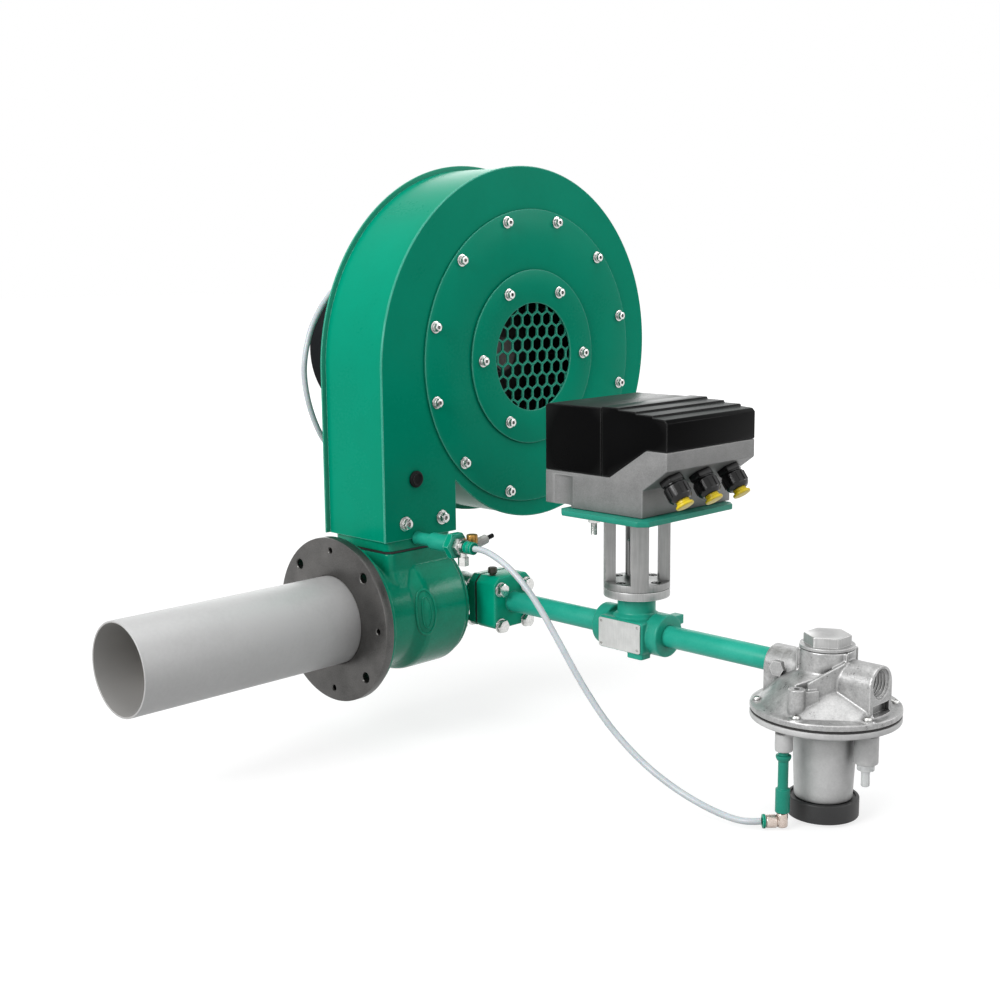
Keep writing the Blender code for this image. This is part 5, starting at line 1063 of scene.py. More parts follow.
# A lighter copy of the housing's green, painted light for the block's brightly lit faces.
lit_block_enamel = finish(
    "lit_block_enamel", "green_paint", (0.0, 0.375, 0.225), (0.0, 0.425, 0.262), rough=(0.28, 0.4),
    cloud=30.0, grain=420.0, depth=0.0001, hollow_shade=0.4, tint=0.3, worn=(0.20, 0.68, 0.55),
    Specular_IOR_Level=0.1,
)
block_shape = drawn(block_outline(), -block_high.y, BLOCK_END)
gas_block = piece("gas_block_body", "gas_block", block_shape, lit_block_enamel, *ON_TRAIN)
bevelled(gas_block, 0.0018, 3, 30)
cut(gas_block, rod(PIPE_BORE, 0.0, 0.2))
cut(gas_block, rod(PIPE_RADIUS + GAP, BLOCK_END - PIPE_SOCKET, 0.2))
washered_bolt = collected([hexagon_head(0.0070, 0.0066), ring(0.0078, 0.001, 0.0, 0.0012, 0.0003, 32)])
block_bolts = on_corners(BOLT_COLUMNS, (BOLT_LOW, BOLT_HIGH), BLOCK_END)
fasteners("gas_block_bolts", washered_bolt, block_bolts, *ON_TRAIN, 23.0)
knob_brown = finish(
    "knob_brown", "black_plastic", (0.018, 0.015, 0.008), (0.034, 0.028, 0.014), rough=(0.4, 0.55),
    cloud=120.0, grain=1500.0, depth=0.00004,
)
knob_radius = (knob_high.x - knob_low.x) / 2
knob_height = knob_high.z - knob_low.z
knob_profile = [(0.0033, 0.0), (0.0033, 0.0015), (knob_radius, 0.0025), (knob_radius, knob_height)]
knob_place = ((knob_low.x + knob_high.x) / 2, (knob_low.y + knob_high.y) / 2, knob_low.z)
piece("gas_test_cap", "gas_test_knob", turned(knob_profile, 0.0014, 48), knob_brown, knob_place)

# Gas pipes: half-inch steel pipe in satin green, one run each side of the valve. Their green is
# paler than the valve's, painted light for their brightly lit tops.
# Each end is screwed into its socket.
lit_pipe_enamel = finish(
    "lit_pipe_enamel", "pale_green_paint", (0.012, 0.400, 0.285), (0.034, 0.470, 0.350), rough=(0.34, 0.46),
    cloud=30.0, grain=500.0, depth=0.0001, tint=0.3, Specular_IOR_Level=0.3,
)
for pipe in ("gas_pipe_inner", "gas_pipe_outer"):
    pipe_low, pipe_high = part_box(pipe)
    pipe_wall = ring(PIPE_RADIUS, PIPE_BORE, -pipe_high.y, -pipe_low.y, 0.0005, 64)
    piece(pipe + "_tube", pipe, pipe_wall, lit_pipe_enamel, *ON_TRAIN)

# Butterfly valve: a green casting with threaded collars at both ends, a neck for the yoke, a foot
# and a lug. A thin aluminium plate is riveted to its side and left bare.
ALONG_LEFT = (math.radians(90), 0.0, math.radians(-90))
VALVE_HALF_WIDTH = 0.0252
VALVE_HALF_LENGTH = 0.027
VALVE_TOP = 0.0145
VALVE_BOTTOM = 0.017
COLLAR_RADIUS = 0.0205
COLLAR_START = VALVE_HALF_LENGTH - 0.0026
VALVE_END = VALVE_HALF_LENGTH + 0.013
VALVE_NECK_RADIUS = 0.0184
VALVE_NECK_FOOT = VALVE_NECK_RADIUS + 0.004
VALVE_NECK_TOP = 0.0343
RIVET_INSET = 0.0032
valve_low, valve_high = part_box("valve_body")
plate_low, plate_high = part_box("valve_plate")
VALVE_Y = (valve_low.y + valve_high.y) / 2
VALVE = (TRAIN_X, VALVE_Y, 0.0)
train_enamel = finish(
    "train_enamel", "pale_green_paint", (0.010, 0.340, 0.235), (0.028, 0.400, 0.290),
    rough=(0.32, 0.44), cloud=30.0, grain=420.0, depth=0.00012, hollow_shade=0.4, tint=0.3,
    Specular_IOR_Level=0.3,
)
valve_plan = rounded_rectangle(
    -VALVE_HALF_WIDTH, VALVE_HALF_WIDTH, -VALVE_HALF_LENGTH, VALVE_HALF_LENGTH, 0.003
)
valve_block = drawn(valve_plan, -VALVE_BOTTOM, VALVE_TOP)
valve = piece("valve_casting", "valve_body", valve_block, train_enamel, VALVE)
bevelled(valve, 0.0025, 3, 60)
for side in (-1, 1):
    collar = [(COLLAR_RADIUS, side * COLLAR_START), (COLLAR_RADIUS, side * VALVE_END)]
    fuse(valve, turned(collar, 0.0016), turn=ALONG_FRONT)
neck_profile = [
    (VALVE_NECK_FOOT, 0.003),
    (VALVE_NECK_FOOT, VALVE_TOP + 0.001),
    (VALVE_NECK_RADIUS, VALVE_TOP + 0.004),
    (VALVE_NECK_RADIUS, VALVE_NECK_TOP),
]
fuse(valve, turned(neck_profile, 0.001))
foot = rectangle(-0.0238, -0.0092, -0.0262, -0.0072)
fuse(valve, drawn(eased(foot, 0.003), -VALVE_BOTTOM - 0.005, -0.0085))
lug = rectangle(0.0043, 0.0235, -VALVE_END + 0.0006, -0.0285)
fuse(valve, drawn(eased(lug, 0.001), 0.0082, 0.0172))
cast(valve, 0.0006, 4)
cut(valve, rod(0.0085, -0.1, 0.1), turn=ALONG_FRONT)
for socket_low, socket_high in ((-0.1, -VALVE_END + PIPE_SOCKET), (VALVE_END - PIPE_SOCKET, 0.1)):
    cut(valve, rod(PIPE_RADIUS + GAP, socket_low, socket_high), turn=ALONG_FRONT)
cut(valve, rod(0.0033, -0.0128, 0.1))
plate_metal = finish(
    "plate_metal", "zinc", (0.60, 0.60, 0.59), (0.72, 0.72, 0.71), rough=(0.34, 0.5), cloud=120.0,
    grain=900.0, depth=0.00002, metallic=0.55, stretch=(1.0, 0.06, 1.0),
)
shaft_steel = finish(
    "shaft_steel", "zinc", (0.30, 0.30, 0.29), (0.45, 0.44, 0.42), rough=(0.25, 0.38), cloud=60.0,
    grain=900.0, depth=0.00002, metallic=1.0, stretch=(1.0, 0.05, 1.0),
)
plate_outline = rounded_rectangle(plate_low.y, plate_high.y, plate_low.z, plate_high.z, 0.002)
plate_sheet = drawn(plate_outline, plate_low.x, plate_high.x)
piece("valve_bare_plate", "valve_plate", plate_sheet, plate_metal, turn=ALONG_X)
rivet_profile = [(0.0, -0.0004), (0.0014, -0.0004), (0.0012, 0.0007), (0.0, 0.0009)]
rivet = revolved(eased(rivet_profile, 0.0004, False), 20)
rivet_columns = (-plate_low.y - RIVET_INSET, -plate_high.y + RIVET_INSET)
rivet_rows = (plate_low.z + RIVET_INSET, plate_high.z - RIVET_INSET)
rivets = placed(rivet, on_corners(rivet_columns, rivet_rows, -plate_low.x))
piece("valve_plate_rivets", None, rivets, shaft_steel, turn=ALONG_LEFT)
dress(shaft_steel, "valve_butterfly")

# Spacer and yoke: turned and milled aluminium that carries the actuator clear of the valve, four
# posts on a flange. The spacer under it is brighter, fresh from the lathe.
spacer_low, spacer_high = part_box("spacer_disc")
yoke_low, yoke_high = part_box("valve_yoke")
YOKE_RADIUS = 0.032
YOKE_BORE = 0.006
YOKE_FLANGE_TOP = yoke_low.z + 0.0067
POST_WIDTH = 0.017
POST_DEPTH = 0.010
bright_turned = finish(
    "bright_turned", "cast_aluminium", (0.34, 0.34, 0.338), (0.46, 0.46, 0.456), rough=(0.28, 0.40),
    cloud=50.0, grain=900.0, depth=0.00002, metallic=0.5, stretch=(1.0, 1.0, 0.05), hollow_shade=0.5,
    worn=(0.80, 0.80, 0.79),
)
milled_aluminium = finish(
    "milled_aluminium", "cast_aluminium", (0.24, 0.24, 0.238), (0.33, 0.33, 0.325), rough=(0.34, 0.46),
    cloud=30.0, grain=600.0, depth=0.00002, metallic=0.75, stretch=(1.0, 1.0, 0.04), hollow_shade=0.5,
)
spacer = ring(YOKE_RADIUS, YOKE_BORE, spacer_low.z, spacer_high.z, 0.0005, 128)
piece("spacer_ring", "spacer_disc", spacer, bright_turned, VALVE)
yoke_ring = ring(YOKE_RADIUS, YOKE_BORE, yoke_low.z, YOKE_FLANGE_TOP, 0.0004, 128)
yoke = piece("yoke_frame", "valve_yoke", yoke_ring, milled_aluminium, VALVE)
spread = math.degrees(math.asin(POST_WIDTH / 2 / YOKE_RADIUS))
for post in range(4):
    middle = 45 + 90 * post
    outline = []
    for step in range(13):
        turn = math.radians(middle + spread * (step / 6 - 1))
        outline.append((YOKE_RADIUS * math.cos(turn), YOKE_RADIUS * math.sin(turn)))
    inward = Vector((math.cos(math.radians(middle)), math.sin(math.radians(middle)))) * POST_DEPTH
    outline += [(x - inward.x, y - inward.y) for x, y in (outline[-1], outline[0])]
    fuse(yoke, drawn(outline, yoke_low.z + 0.001, yoke_high.z))
yoke_screws = polygon(4, YOKE_RADIUS - 0.0082)
wells = [rod(0.0050, yoke_low.z + 0.0012, YOKE_FLANGE_TOP + 0.004, centre, 32) for centre in yoke_screws]
cut(yoke, collected(wells))
black_oxide = finish(
    "black_oxide", "dark_steel", (0.002, 0.002, 0.002), (0.006, 0.006, 0.006), rough=(0.3, 0.45),
    cloud=300.0, grain=1600.0, depth=0.00003, Specular_IOR_Level=0.12,
)
sunk_screws = [(x, y, yoke_low.z + 0.0015) for x, y in yoke_screws]
piece("yoke_screws", None, placed(socket_screw(0.0043, 0.0050, 0.0046), sunk_screws), black_oxide, VALVE)
dress(milled_aluminium, "shaft_coupling")

# Actuator plate: a green steel plate with clipped corners under the actuator, and a plated stud
# with its nut at the free corner.
mount_low, mount_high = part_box("actuator_plate")
PLATE_BOTTOM = yoke_high.z + GAP
STUD_BOTTOM = PLATE_BOTTOM - 0.0165
STUD_X = TRAIN_X - 0.0632
STUD_Y = VALVE_Y - 0.0007
THREAD_STEP = 0.0005
# A darker copy of the valve's green, painted shade for the plate that lies in the actuator's shadow; the
# drop tube wears it too.
shaded_enamel = finish(
    "shaded_enamel", "pale_green_paint", (0.006, 0.250, 0.172), (0.018, 0.300, 0.214), rough=(0.32, 0.44),
    cloud=30.0, grain=420.0, depth=0.00012, hollow_shade=0.4, tint=0.3, Specular_IOR_Level=0.3,
)
mount_plan = rounded_rectangle(mount_low.x, mount_high.x, mount_low.y, mount_high.y, 0.008, 1)
mount_block = drawn(mount_plan, PLATE_BOTTOM, mount_high.z)
mount = piece("actuator_plate_sheet", "actuator_plate", mount_block, shaded_enamel)
bevelled(mount, 0.0009, 2, 30)
cut(mount, rod(0.009, 0.0, 1.0), VALVE)
stud_profile = [(0.0, STUD_BOTTOM)]
for turn_number in range(32):
    stud_profile.append((0.0030 if turn_number % 2 else 0.0027, STUD_BOTTOM + THREAD_STEP * turn_number))
stud_profile.append((0.0, PLATE_BOTTOM - GAP))
piece("actuator_stud", None, revolved(stud_profile, 32), zinc_plate, (STUD_X, STUD_Y, 0.0))
nut = as_object("nut", hexagon_head(0.0056, 0.0045))
cut(nut, rod(0.0031, -0.1, 0.1))
piece("actuator_nut", None, taken(nut), zinc_plate, (STUD_X, STUD_Y, PLATE_BOTTOM - 0.0049))

# Actuator: a speckled grey die-cast base, a black front cover that drops in three steps, and a
# plain black rear cover. Only plain mouldings show, with a shallow scoop in the base's sides.
ON_VALVE = (VALVE, ALONG_X)
ACTUATOR_HALF_WIDTH = 0.0658
ACTUATOR_FRONT = 0.0875
ACTUATOR_REAR = 0.058
BASE_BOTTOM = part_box("actuator_base")[0].z
BASE_FOOT_FRONT = 0.060
BASE_FOOT_REAR = 0.027
BASE_SLANT_LOW = 0.0252
BASE_SLANT_HIGH = 0.0452
BASE_SIDE = BASE_BOTTOM + 0.0337
BASE_FRONT = BASE_BOTTOM + 0.062
SCOOP_RADIUS = 0.022
SCOOP_DEPTH = 0.0034
COVER_TOP = BASE_BOTTOM + 0.098
COVER_STEP = 0.0021
COVER_SPLIT = 0.0115
die_cast = finish(
    "die_cast", "cast_aluminium", (0.17, 0.17, 0.17), (0.26, 0.26, 0.258), rough=(0.42, 0.55),
    cloud=45.0, grain=1100.0, depth=0.00012, metallic=0.3, hollow_shade=0.35, tint=0.6,
    worn=(0.44, 0.44, 0.436),
)
# The black covers carry a painted sheen on their tops and a painted highlight on their edges.
cover_black = finish(
    "cover_black", "black_plastic", (0.0012, 0.0012, 0.0013), (0.0024, 0.0024, 0.0026),
    rough=(0.26, 0.34), cloud=18.0, grain=1600.0, depth=0.00002, worn=(0.09, 0.09, 0.09),
    dust=(0.034, 0.040, 0.038), Specular_IOR_Level=0.03,
)


def actuator_part(name, node, side_view, material, bevel, segments):
    """A part of the actuator, as wide as the whole and drawn from its side view."""
    shape = drawn(side_view, -ACTUATOR_HALF_WIDTH, ACTUATOR_HALF_WIDTH)
    part = piece(name, node, shape, material, *ON_VALVE)
    bevelled(part, bevel, segments, 25)
    return part


base_side = [
    (-BASE_FOOT_FRONT, BASE_BOTTOM),
    (BASE_FOOT_REAR, BASE_BOTTOM),
    (BASE_FOOT_REAR, BASE_BOTTOM + 0.0022),
    (ACTUATOR_REAR, BASE_BOTTOM + 0.0022),
    (ACTUATOR_REAR, BASE_SIDE),
    (-COVER_SPLIT - 0.0095, BASE_SIDE),
    (-0.064, BASE_FRONT),
    (-ACTUATOR_FRONT, BASE_FRONT),
    (-ACTUATOR_FRONT, BASE_BOTTOM + BASE_SLANT_HIGH),
    (-BASE_FOOT_FRONT, BASE_BOTTOM + BASE_SLANT_LOW),
]
base = actuator_part("actuator_base_casting", "actuator_base", base_side, die_cast, 0.0022, 4)
for hand in (-1, 1):
    scoop_x = VALVE[0] + hand * (ACTUATOR_HALF_WIDTH + SCOOP_RADIUS - SCOOP_DEPTH)
    scoop = rod(SCOOP_RADIUS, BASE_BOTTOM - 0.01, BASE_SIDE - 0.0035, sides=128)
    cut(base, scoop, (scoop_x, VALVE_Y + BASE_FOOT_REAR + 0.008, 0.0), UPRIGHT)
front_side = [(-COVER_SPLIT - GAP, BASE_SIDE + GAP), (-COVER_SPLIT - GAP, COVER_TOP)]
for step, edge in enumerate((-0.032, -0.052, -0.071)):
    front_side.append((edge, COVER_TOP - step * COVER_STEP))
    front_side.append((edge - 0.0005, COVER_TOP - (step + 1) * COVER_STEP))
front_side += [
    (-ACTUATOR_FRONT + 0.003, COVER_TOP - 3 * COVER_STEP - 0.0008),
    (-ACTUATOR_FRONT, COVER_TOP - 3 * COVER_STEP - 0.004),
    (-ACTUATOR_FRONT, BASE_FRONT + GAP),
    (-0.0643, BASE_FRONT + GAP),
    (-COVER_SPLIT - 0.0098, BASE_SIDE + GAP),
]
actuator_part("actuator_front_cover", "actuator_cover_front", front_side, cover_black, 0.0009, 3)
rear_side = [
    (-COVER_SPLIT + GAP, BASE_SIDE + GAP),
    (ACTUATOR_REAR, BASE_SIDE + GAP),
    (ACTUATOR_REAR, COVER_TOP - 0.004),
    (ACTUATOR_REAR - 0.003, COVER_TOP - 0.0015),
    (-COVER_SPLIT + GAP, COVER_TOP - 0.001),
]
actuator_part("actuator_rear_cover", "actuator_cover_rear", rear_side, cover_black, 0.0012, 3)

# Cable glands: black nylon glands on the slanted face, each a hexagon body and a ribbed nut round
# a yellow sealing plug.
GLAND_RADIUS = 0.012
GLAND_PITCH = 0.0427
GLAND_SHARE = 0.56
gland_slope = math.atan2(BASE_SLANT_HIGH - BASE_SLANT_LOW, ACTUATOR_FRONT - BASE_FOOT_FRONT)
gland_y = VALVE_Y - BASE_FOOT_FRONT - GLAND_SHARE * (ACTUATOR_FRONT - BASE_FOOT_FRONT)
gland_z = BASE_BOTTOM + BASE_SLANT_LOW + GLAND_SHARE * (BASE_SLANT_HIGH - BASE_SLANT_LOW)
gland_turn = (math.radians(180) - gland_slope, 0.0, 0.0)
gland_nylon = finish(
    "gland_nylon", "black_plastic", (0.003, 0.003, 0.0031), (0.008, 0.008, 0.0085), rough=(0.16, 0.28),
    cloud=90.0, grain=1500.0, depth=0.00003, hollow_shade=0.5, Specular_IOR_Level=0.36,
)
plug_yellow = finish(
    "plug_yellow", "black_plastic", (0.70, 0.50, 0.005), (0.86, 0.66, 0.01), rough=(0.3, 0.42),
    cloud=150.0, grain=1500.0, depth=0.00002,
)
nut_profile = [(0.0098, 0.004), (0.0098, 0.0075), (0.0112, 0.0085), (0.0112, 0.0200), (0.0085, 0.0235)]
seal_profile = [(0.0064, 0.0185), (0.0064, 0.0262), (0.0086, 0.0270), (0.0086, 0.0292), (0.0066, 0.0298)]


def gland_shape():
    """The hexagon body, the ribbed nut and its domed end, from the seat outwards."""
    gland = as_object("gland", drawn(polygon(6, GLAND_RADIUS, turn=30), GAP, 0.0060))
    bevelled(gland, 0.0006, 2)
    fuse(gland, turned(nut_profile, 0.0012, 64))
    rib = rectangle(0.0105, 0.0119, -0.0008, 0.0008)
    fuse(gland, collected([drawn(spun(rib, math.radians(30 * turn)), 0.0095, 0.0185) for turn in range(12)]))
    cut(gland, rod(0.0069, 0.018, 0.05))
    return taken(gland)


for number in (1, 2, 3):
    on_slant = ((TRAIN_X - 0.0023 + (number - 2) * GLAND_PITCH, gland_y, gland_z), gland_turn)
    node = "cable_gland_" + str(number)
    piece("cable_gland_body_" + str(number), node, gland_shape(), gland_nylon, *on_slant)
    piece("gland_plug_" + str(number), None, turned(seal_profile, 0.0006, 40), plug_yellow, *on_slant)

# Gas governor: two aluminium die castings bolted on a diaphragm. The upper one carries the tower,
# a round-topped boss for each port, a small bored boss, two diagonal ribs and a row of flange pads.
governor_low, governor_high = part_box("governor_body")
GOVERNOR_Y = (governor_low.y + governor_high.y) / 2
GOVERNOR = (TRAIN_X, GOVERNOR_Y, 0.0)
GOVERNOR_RADIUS = 0.0655
OUTLET_REACH = 0.0535
INLET_REACH = 0.0539
FLANGE_LOW = -0.033
FLANGE_EDGE = FLANGE_LOW + 0.0055
FLANGE_ROOT = FLANGE_LOW + 0.00275
PAD_TOP = FLANGE_EDGE + 0.0012
PAD_CIRCLE = 0.0590
TOWER_RADIUS = 0.0243
TOWER_TOP = 0.0227
PORT_RADIUS = 0.0132
PORT_BOSS_HALF_WIDTH = 0.0178
PORT_BOSS_TOP = 0.0158
SIDE_BOSS = (-0.050, -0.003)
FACET_TURNS = (217.0, 37.0)
FIN_TURNS = (135, -45, 252)
governor_casting = finish(
    "governor_casting", "cast_aluminium", (0.29, 0.29, 0.289), (0.51, 0.51, 0.507), rough=(0.24, 0.42),
    cloud=95.0, grain=600.0, depth=0.0002, metallic=0.5, hollow_shade=0.85, tint=0.4, worn=(0.82, 0.82, 0.81),
)
governor_profile = [
    (GOVERNOR_RADIUS, FLANGE_LOW),
    (GOVERNOR_RADIUS, FLANGE_EDGE),
    (GOVERNOR_RADIUS - 0.0075, FLANGE_EDGE + 0.0003),
    (0.040, -0.006),
    (TOWER_RADIUS + 0.002, 0.002),
    (TOWER_RADIUS, 0.004),
    (TOWER_RADIUS, TOWER_TOP),
]
governor_block = turned(governor_profile, 0.0012, 128)
governor = piece("governor_upper_casting", "governor_body", governor_block, governor_casting, GOVERNOR)
facet = [(0.0262, -0.0088), (0.0530, -0.0268), (0.0700, -0.0268), (0.0700, 0.0200), (0.0262, 0.0200)]
for facet_turn in FACET_TURNS:
    cut(governor, drawn(facet, -0.030, 0.0277), GOVERNOR, (math.radians(90), 0.0, math.radians(facet_turn)))
boss_side = [(-PORT_BOSS_HALF_WIDTH, FLANGE_ROOT), (PORT_BOSS_HALF_WIDTH, FLANGE_ROOT)]
for step in range(33):
    turn = math.pi * step / 32
    height = PORT_BOSS_TOP - PORT_BOSS_HALF_WIDTH + PORT_BOSS_HALF_WIDTH * math.sin(turn)
    boss_side.append((PORT_BOSS_HALF_WIDTH * math.cos(turn), height))
fuse(governor, drawn(boss_side, -OUTLET_REACH, INLET_REACH), turn=ALONG_FRONT)
fuse(governor, rod(0.0074, FLANGE_ROOT, -0.0035, SIDE_BOSS))
boss_web = [(-0.0500, -0.0085), (-0.0350, -0.0150), (-0.0330, -0.0060), (-0.0480, 0.0020)]
fuse(governor, drawn(boss_web, FLANGE_ROOT, -0.0060))
rib_run = (0.030, -0.0175)
rib_heading = math.atan2(rib_run[1], rib_run[0])
rib_length = math.hypot(*rib_run)
rib_side = [(0.0, FLANGE_ROOT), (rib_length, FLANGE_ROOT), (rib_length, 0.0155), (0.0, 0.0)]
for rib_hand in (1, -1):
    rib_place = (TRAIN_X - 0.040 * rib_hand, GOVERNOR_Y - 0.007 * rib_hand, 0.0)
    rib_turn = (math.radians(90), 0.0, rib_heading + (0.0 if rib_hand > 0 else math.pi))
    fuse(governor, drawn(rib_side, -0.00165, 0.00165), rib_place, rib_turn)
fin_plan = rectangle(0.020, TOWER_RADIUS + 0.0026, -0.0015, 0.0015)
for fin_turn in FIN_TURNS:
    fuse(governor, drawn(fin_plan, -0.010, TOWER_TOP - 0.0003), turn=(0.0, 0.0, math.radians(fin_turn)))
pads = [rod(0.0058, FLANGE_ROOT, PAD_TOP, centre) for centre in polygon(6, PAD_CIRCLE, turn=8)]
fuse(governor, collected(pads))
cast(governor, 0.00065, 5)
fuse(governor, rod(0.0074, -0.0215, -0.012, sides=6), (TRAIN_X, GOVERNOR_Y + 0.0375, 0.0), ALONG_X)
cut(governor, rod(0.0027, -0.0075, 0.01, SIDE_BOSS))
cut(governor, rod(0.017, 0.002, 0.1))
cut(governor, rod(0.0445, -0.1, FLANGE_LOW + 0.009))
thread = [(0.0, 0.0260)]
for step in range(18):
    thread.append((PORT_RADIUS if step % 2 else PORT_RADIUS - 0.0013, 0.0265 + 0.0015 * step))
thread.append((PORT_RADIUS - 0.0003, INLET_REACH - 0.0012))
thread += [(PORT_RADIUS + 0.0008, INLET_REACH + 0.001), (0.0, INLET_REACH + 0.001)]
cut(governor, revolved(thread, 96), turn=ALONG_FRONT)
cut(governor, rod(PIPE_RADIUS + GAP, -0.1, -OUTLET_REACH + PIPE_SOCKET), turn=ALONG_FRONT)
under_port = [(-0.0130, -0.0262), (0.0130, -0.0262), (0.0130, -0.0165)]
under_port += [(0.0100, -0.0172), (-0.0100, -0.0172), (-0.0130, -0.0165)]
cut(governor, drawn(under_port, INLET_REACH - 0.0045, 0.1), turn=ALONG_FRONT)
flange_screws = on_circle(6, PAD_CIRCLE, PAD_TOP, 8)
fasteners("governor_flange_screws", pan_screw(0.0040, 0.0026), flange_screws, GOVERNOR)

# Governor lower half: the black edge of the diaphragm, the skirt and spring bowl, the black screw
# cap at its end and the hexagon plug on top.
rim_low, rim_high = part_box("governor_gasket")
bowl_low, bowl_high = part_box("governor_bowl")
cap_low, cap_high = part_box("governor_cap_ring")
hex_low, hex_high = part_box("governor_hex_cap")
BOWL_TOP = bowl_high.z
BOWL_END = bowl_low.z
BOWL_BORE = 0.0225
CAP_RADIUS = 0.0313
CAP_LIP_BORE = 0.0283
COLLAR_TOP = TOWER_TOP + 0.0032
HEX_RADIUS = 0.0207
IMPULSE_BOSS = (-0.0517, 0.0075)
BREATHER_BOSS = (0.0, -0.0415)
edge_height = (rim_low.z - GASKET_PRESS, rim_high.z + GASKET_PRESS)
rim = ring(GOVERNOR_RADIUS - 0.0005, 0.050, *edge_height, 0.0002, 128)
piece("diaphragm_edge", "governor_gasket", rim, gasket_rubber, GOVERNOR)
bowl_profile = [
    (GOVERNOR_RADIUS, BOWL_TOP),
    (GOVERNOR_RADIUS, BOWL_TOP - 0.0055),
    (GOVERNOR_RADIUS - 0.005, BOWL_TOP - 0.0065),
    (0.050, BOWL_TOP - 0.011),
    (0.034, BOWL_TOP - 0.0155),
    (0.0281, BOWL_TOP - 0.019),
    (0.0253, BOWL_END),
]
bowl_metal = finish(
    "bowl_metal", "cast_aluminium", (0.49, 0.49, 0.488), (0.64, 0.64, 0.638), rough=(0.42, 0.55),
    cloud=35.0, grain=500.0, depth=0.00006, metallic=0.08, hollow_shade=0.65, tint=0.25,
)
bowl_block = turned(bowl_profile, 0.0012, 128)
bowl = piece("governor_bowl_casting", "governor_bowl", bowl_block, bowl_metal, GOVERNOR)
fuse(bowl, rod(0.0077, -0.060, BOWL_TOP - 0.0095, IMPULSE_BOSS))
fuse(bowl, rod(0.0105, -0.0727, BOWL_TOP - 0.0125, BREATHER_BOSS))
cast(bowl, 0.0008, 4)
bowl_inside = [
    (BOWL_BORE, BOWL_END - CUT_THROUGH),
    (BOWL_BORE, BOWL_TOP - 0.018),
    (0.030, BOWL_TOP - 0.0125),
    (0.050, BOWL_TOP - 0.006),
    (0.050, BOWL_TOP + CUT_THROUGH),
]
cut(bowl, turned(bowl_inside))
cap_black = finish(
    "cap_black", "black_plastic", (0.010, 0.010, 0.0105), (0.020, 0.020, 0.021), rough=(0.45, 0.58),
    cloud=60.0, grain=1300.0, depth=0.00004,
)
cap_block = turned([(CAP_RADIUS, cap_high.z), (CAP_RADIUS, cap_low.z)], 0.0015)
screw_cap = piece("governor_screw_cap", "governor_cap_ring", cap_block, cap_black, GOVERNOR)
cut(screw_cap, rod(CAP_LIP_BORE, BOWL_END - GAP, 0.0, sides=96))
cut(screw_cap, rod(BOWL_BORE - 0.0015, cap_low.z + 0.003, 0.0))
hex_profile = [
    (0.0167, hex_low.z),
    (0.0167, TOWER_TOP + 0.0003),
    (TOWER_RADIUS - 0.0003, TOWER_TOP + 0.0003),
    (TOWER_RADIUS - 0.0003, COLLAR_TOP),
]
hex_block = turned(hex_profile, 0.0006)
hex_plug = piece("governor_hexagon_plug", "governor_hex_cap", hex_block, bright_turned, GOVERNOR)
hex_start = COLLAR_TOP - 0.001
hex_head = hexagon_head(HEX_RADIUS, hex_high.z - hex_start, 0.05)
fuse(hex_plug, hex_head, (TRAIN_X, GOVERNOR_Y, hex_start), (0.0, 0.0, math.radians(58)))
bevelled(hex_plug, 0.0006, 2, 35)
dress(gasket_rubber, "governor_diaphragm")
dress(zinc_plate, "governor_spring", "spring_adjuster")

# Governor fittings: the green drop tube and its brass elbow for the white hose, and the clear
# breather nipple under the other boss.
IMPULSE = (TRAIN_X + IMPULSE_BOSS[0], GOVERNOR_Y + IMPULSE_BOSS[1], 0.0)
ARM_PLACE = (IMPULSE[0], IMPULSE[1], -0.1235)
ARM_TURN = (math.radians(90), 0.0, math.radians(225))
drop_profile = [
    (0.0045, -0.0603),
    (0.0045, -0.0635),
    (0.0067, -0.064),
    (0.0067, -0.066),
    (0.0055, -0.0685),
    (0.0045, -0.069),
    (0.0045, -0.0935),
    (0.0063, -0.094),
    (0.0063, -0.115),
]
piece("impulse_drop_tube", "governor_tap", turned(drop_profile, 0.0006, 48), shaded_enamel, IMPULSE)
elbow_brass = finish(
    "elbow_brass", "brass", (0.56, 0.46, 0.40), (0.76, 0.66, 0.60), rough=(0.2, 0.36), cloud=180.0,
    grain=1400.0, depth=0.00003, metallic=0.8, hollow_shade=0.5,
)
elbow_stem = turned([(0.0050, -0.1287), (0.0050, -0.1153)], 0.0022, 48)
elbow = piece("impulse_elbow", "governor_elbow", elbow_stem, elbow_brass, IMPULSE)
elbow_arm = [
    (0.0042, 0.0),
    (0.0042, 0.004),
    (0.0058, 0.0055),
    (0.0058, 0.0135),
    (0.0050, 0.0140),
    (0.0050, 0.0146),
]
fuse(elbow, turned(elbow_arm, 0.0005, 48), ARM_PLACE, ARM_TURN)
collar_profile = [(0.0035, 0.0146), (0.0062, 0.0146), (0.0062, 0.0170), (0.0035, 0.0175)]
collar = revolved(eased(collar_profile, 0.0004, steps=2), 48)
piece("elbow_release_collar", None, collar, green_enamel, ARM_PLACE, ARM_TURN)
clear_plastic = finish(
    "clear_plastic", "clear_plastic", (0.78, 0.80, 0.80), (0.88, 0.89, 0.89), rough=(0.12, 0.25),
    cloud=200.0, grain=1200.0, depth=0.00003, Transmission_Weight=0.35, IOR=1.46,
)
breather_profile = [
    (0.0075, -0.0730),
    (0.0075, -0.0785),
    (0.0038, -0.0795),
    (0.0038, -0.0926),
    (0.0028, -0.0936),
]
breather = turned(breather_profile, 0.0004, 32)
breather_place = (TRAIN_X, GOVERNOR_Y + BREATHER_BOSS[1], 0.0)
piece("breather_tube", "breather_nipple", breather, clear_plastic, breather_place)

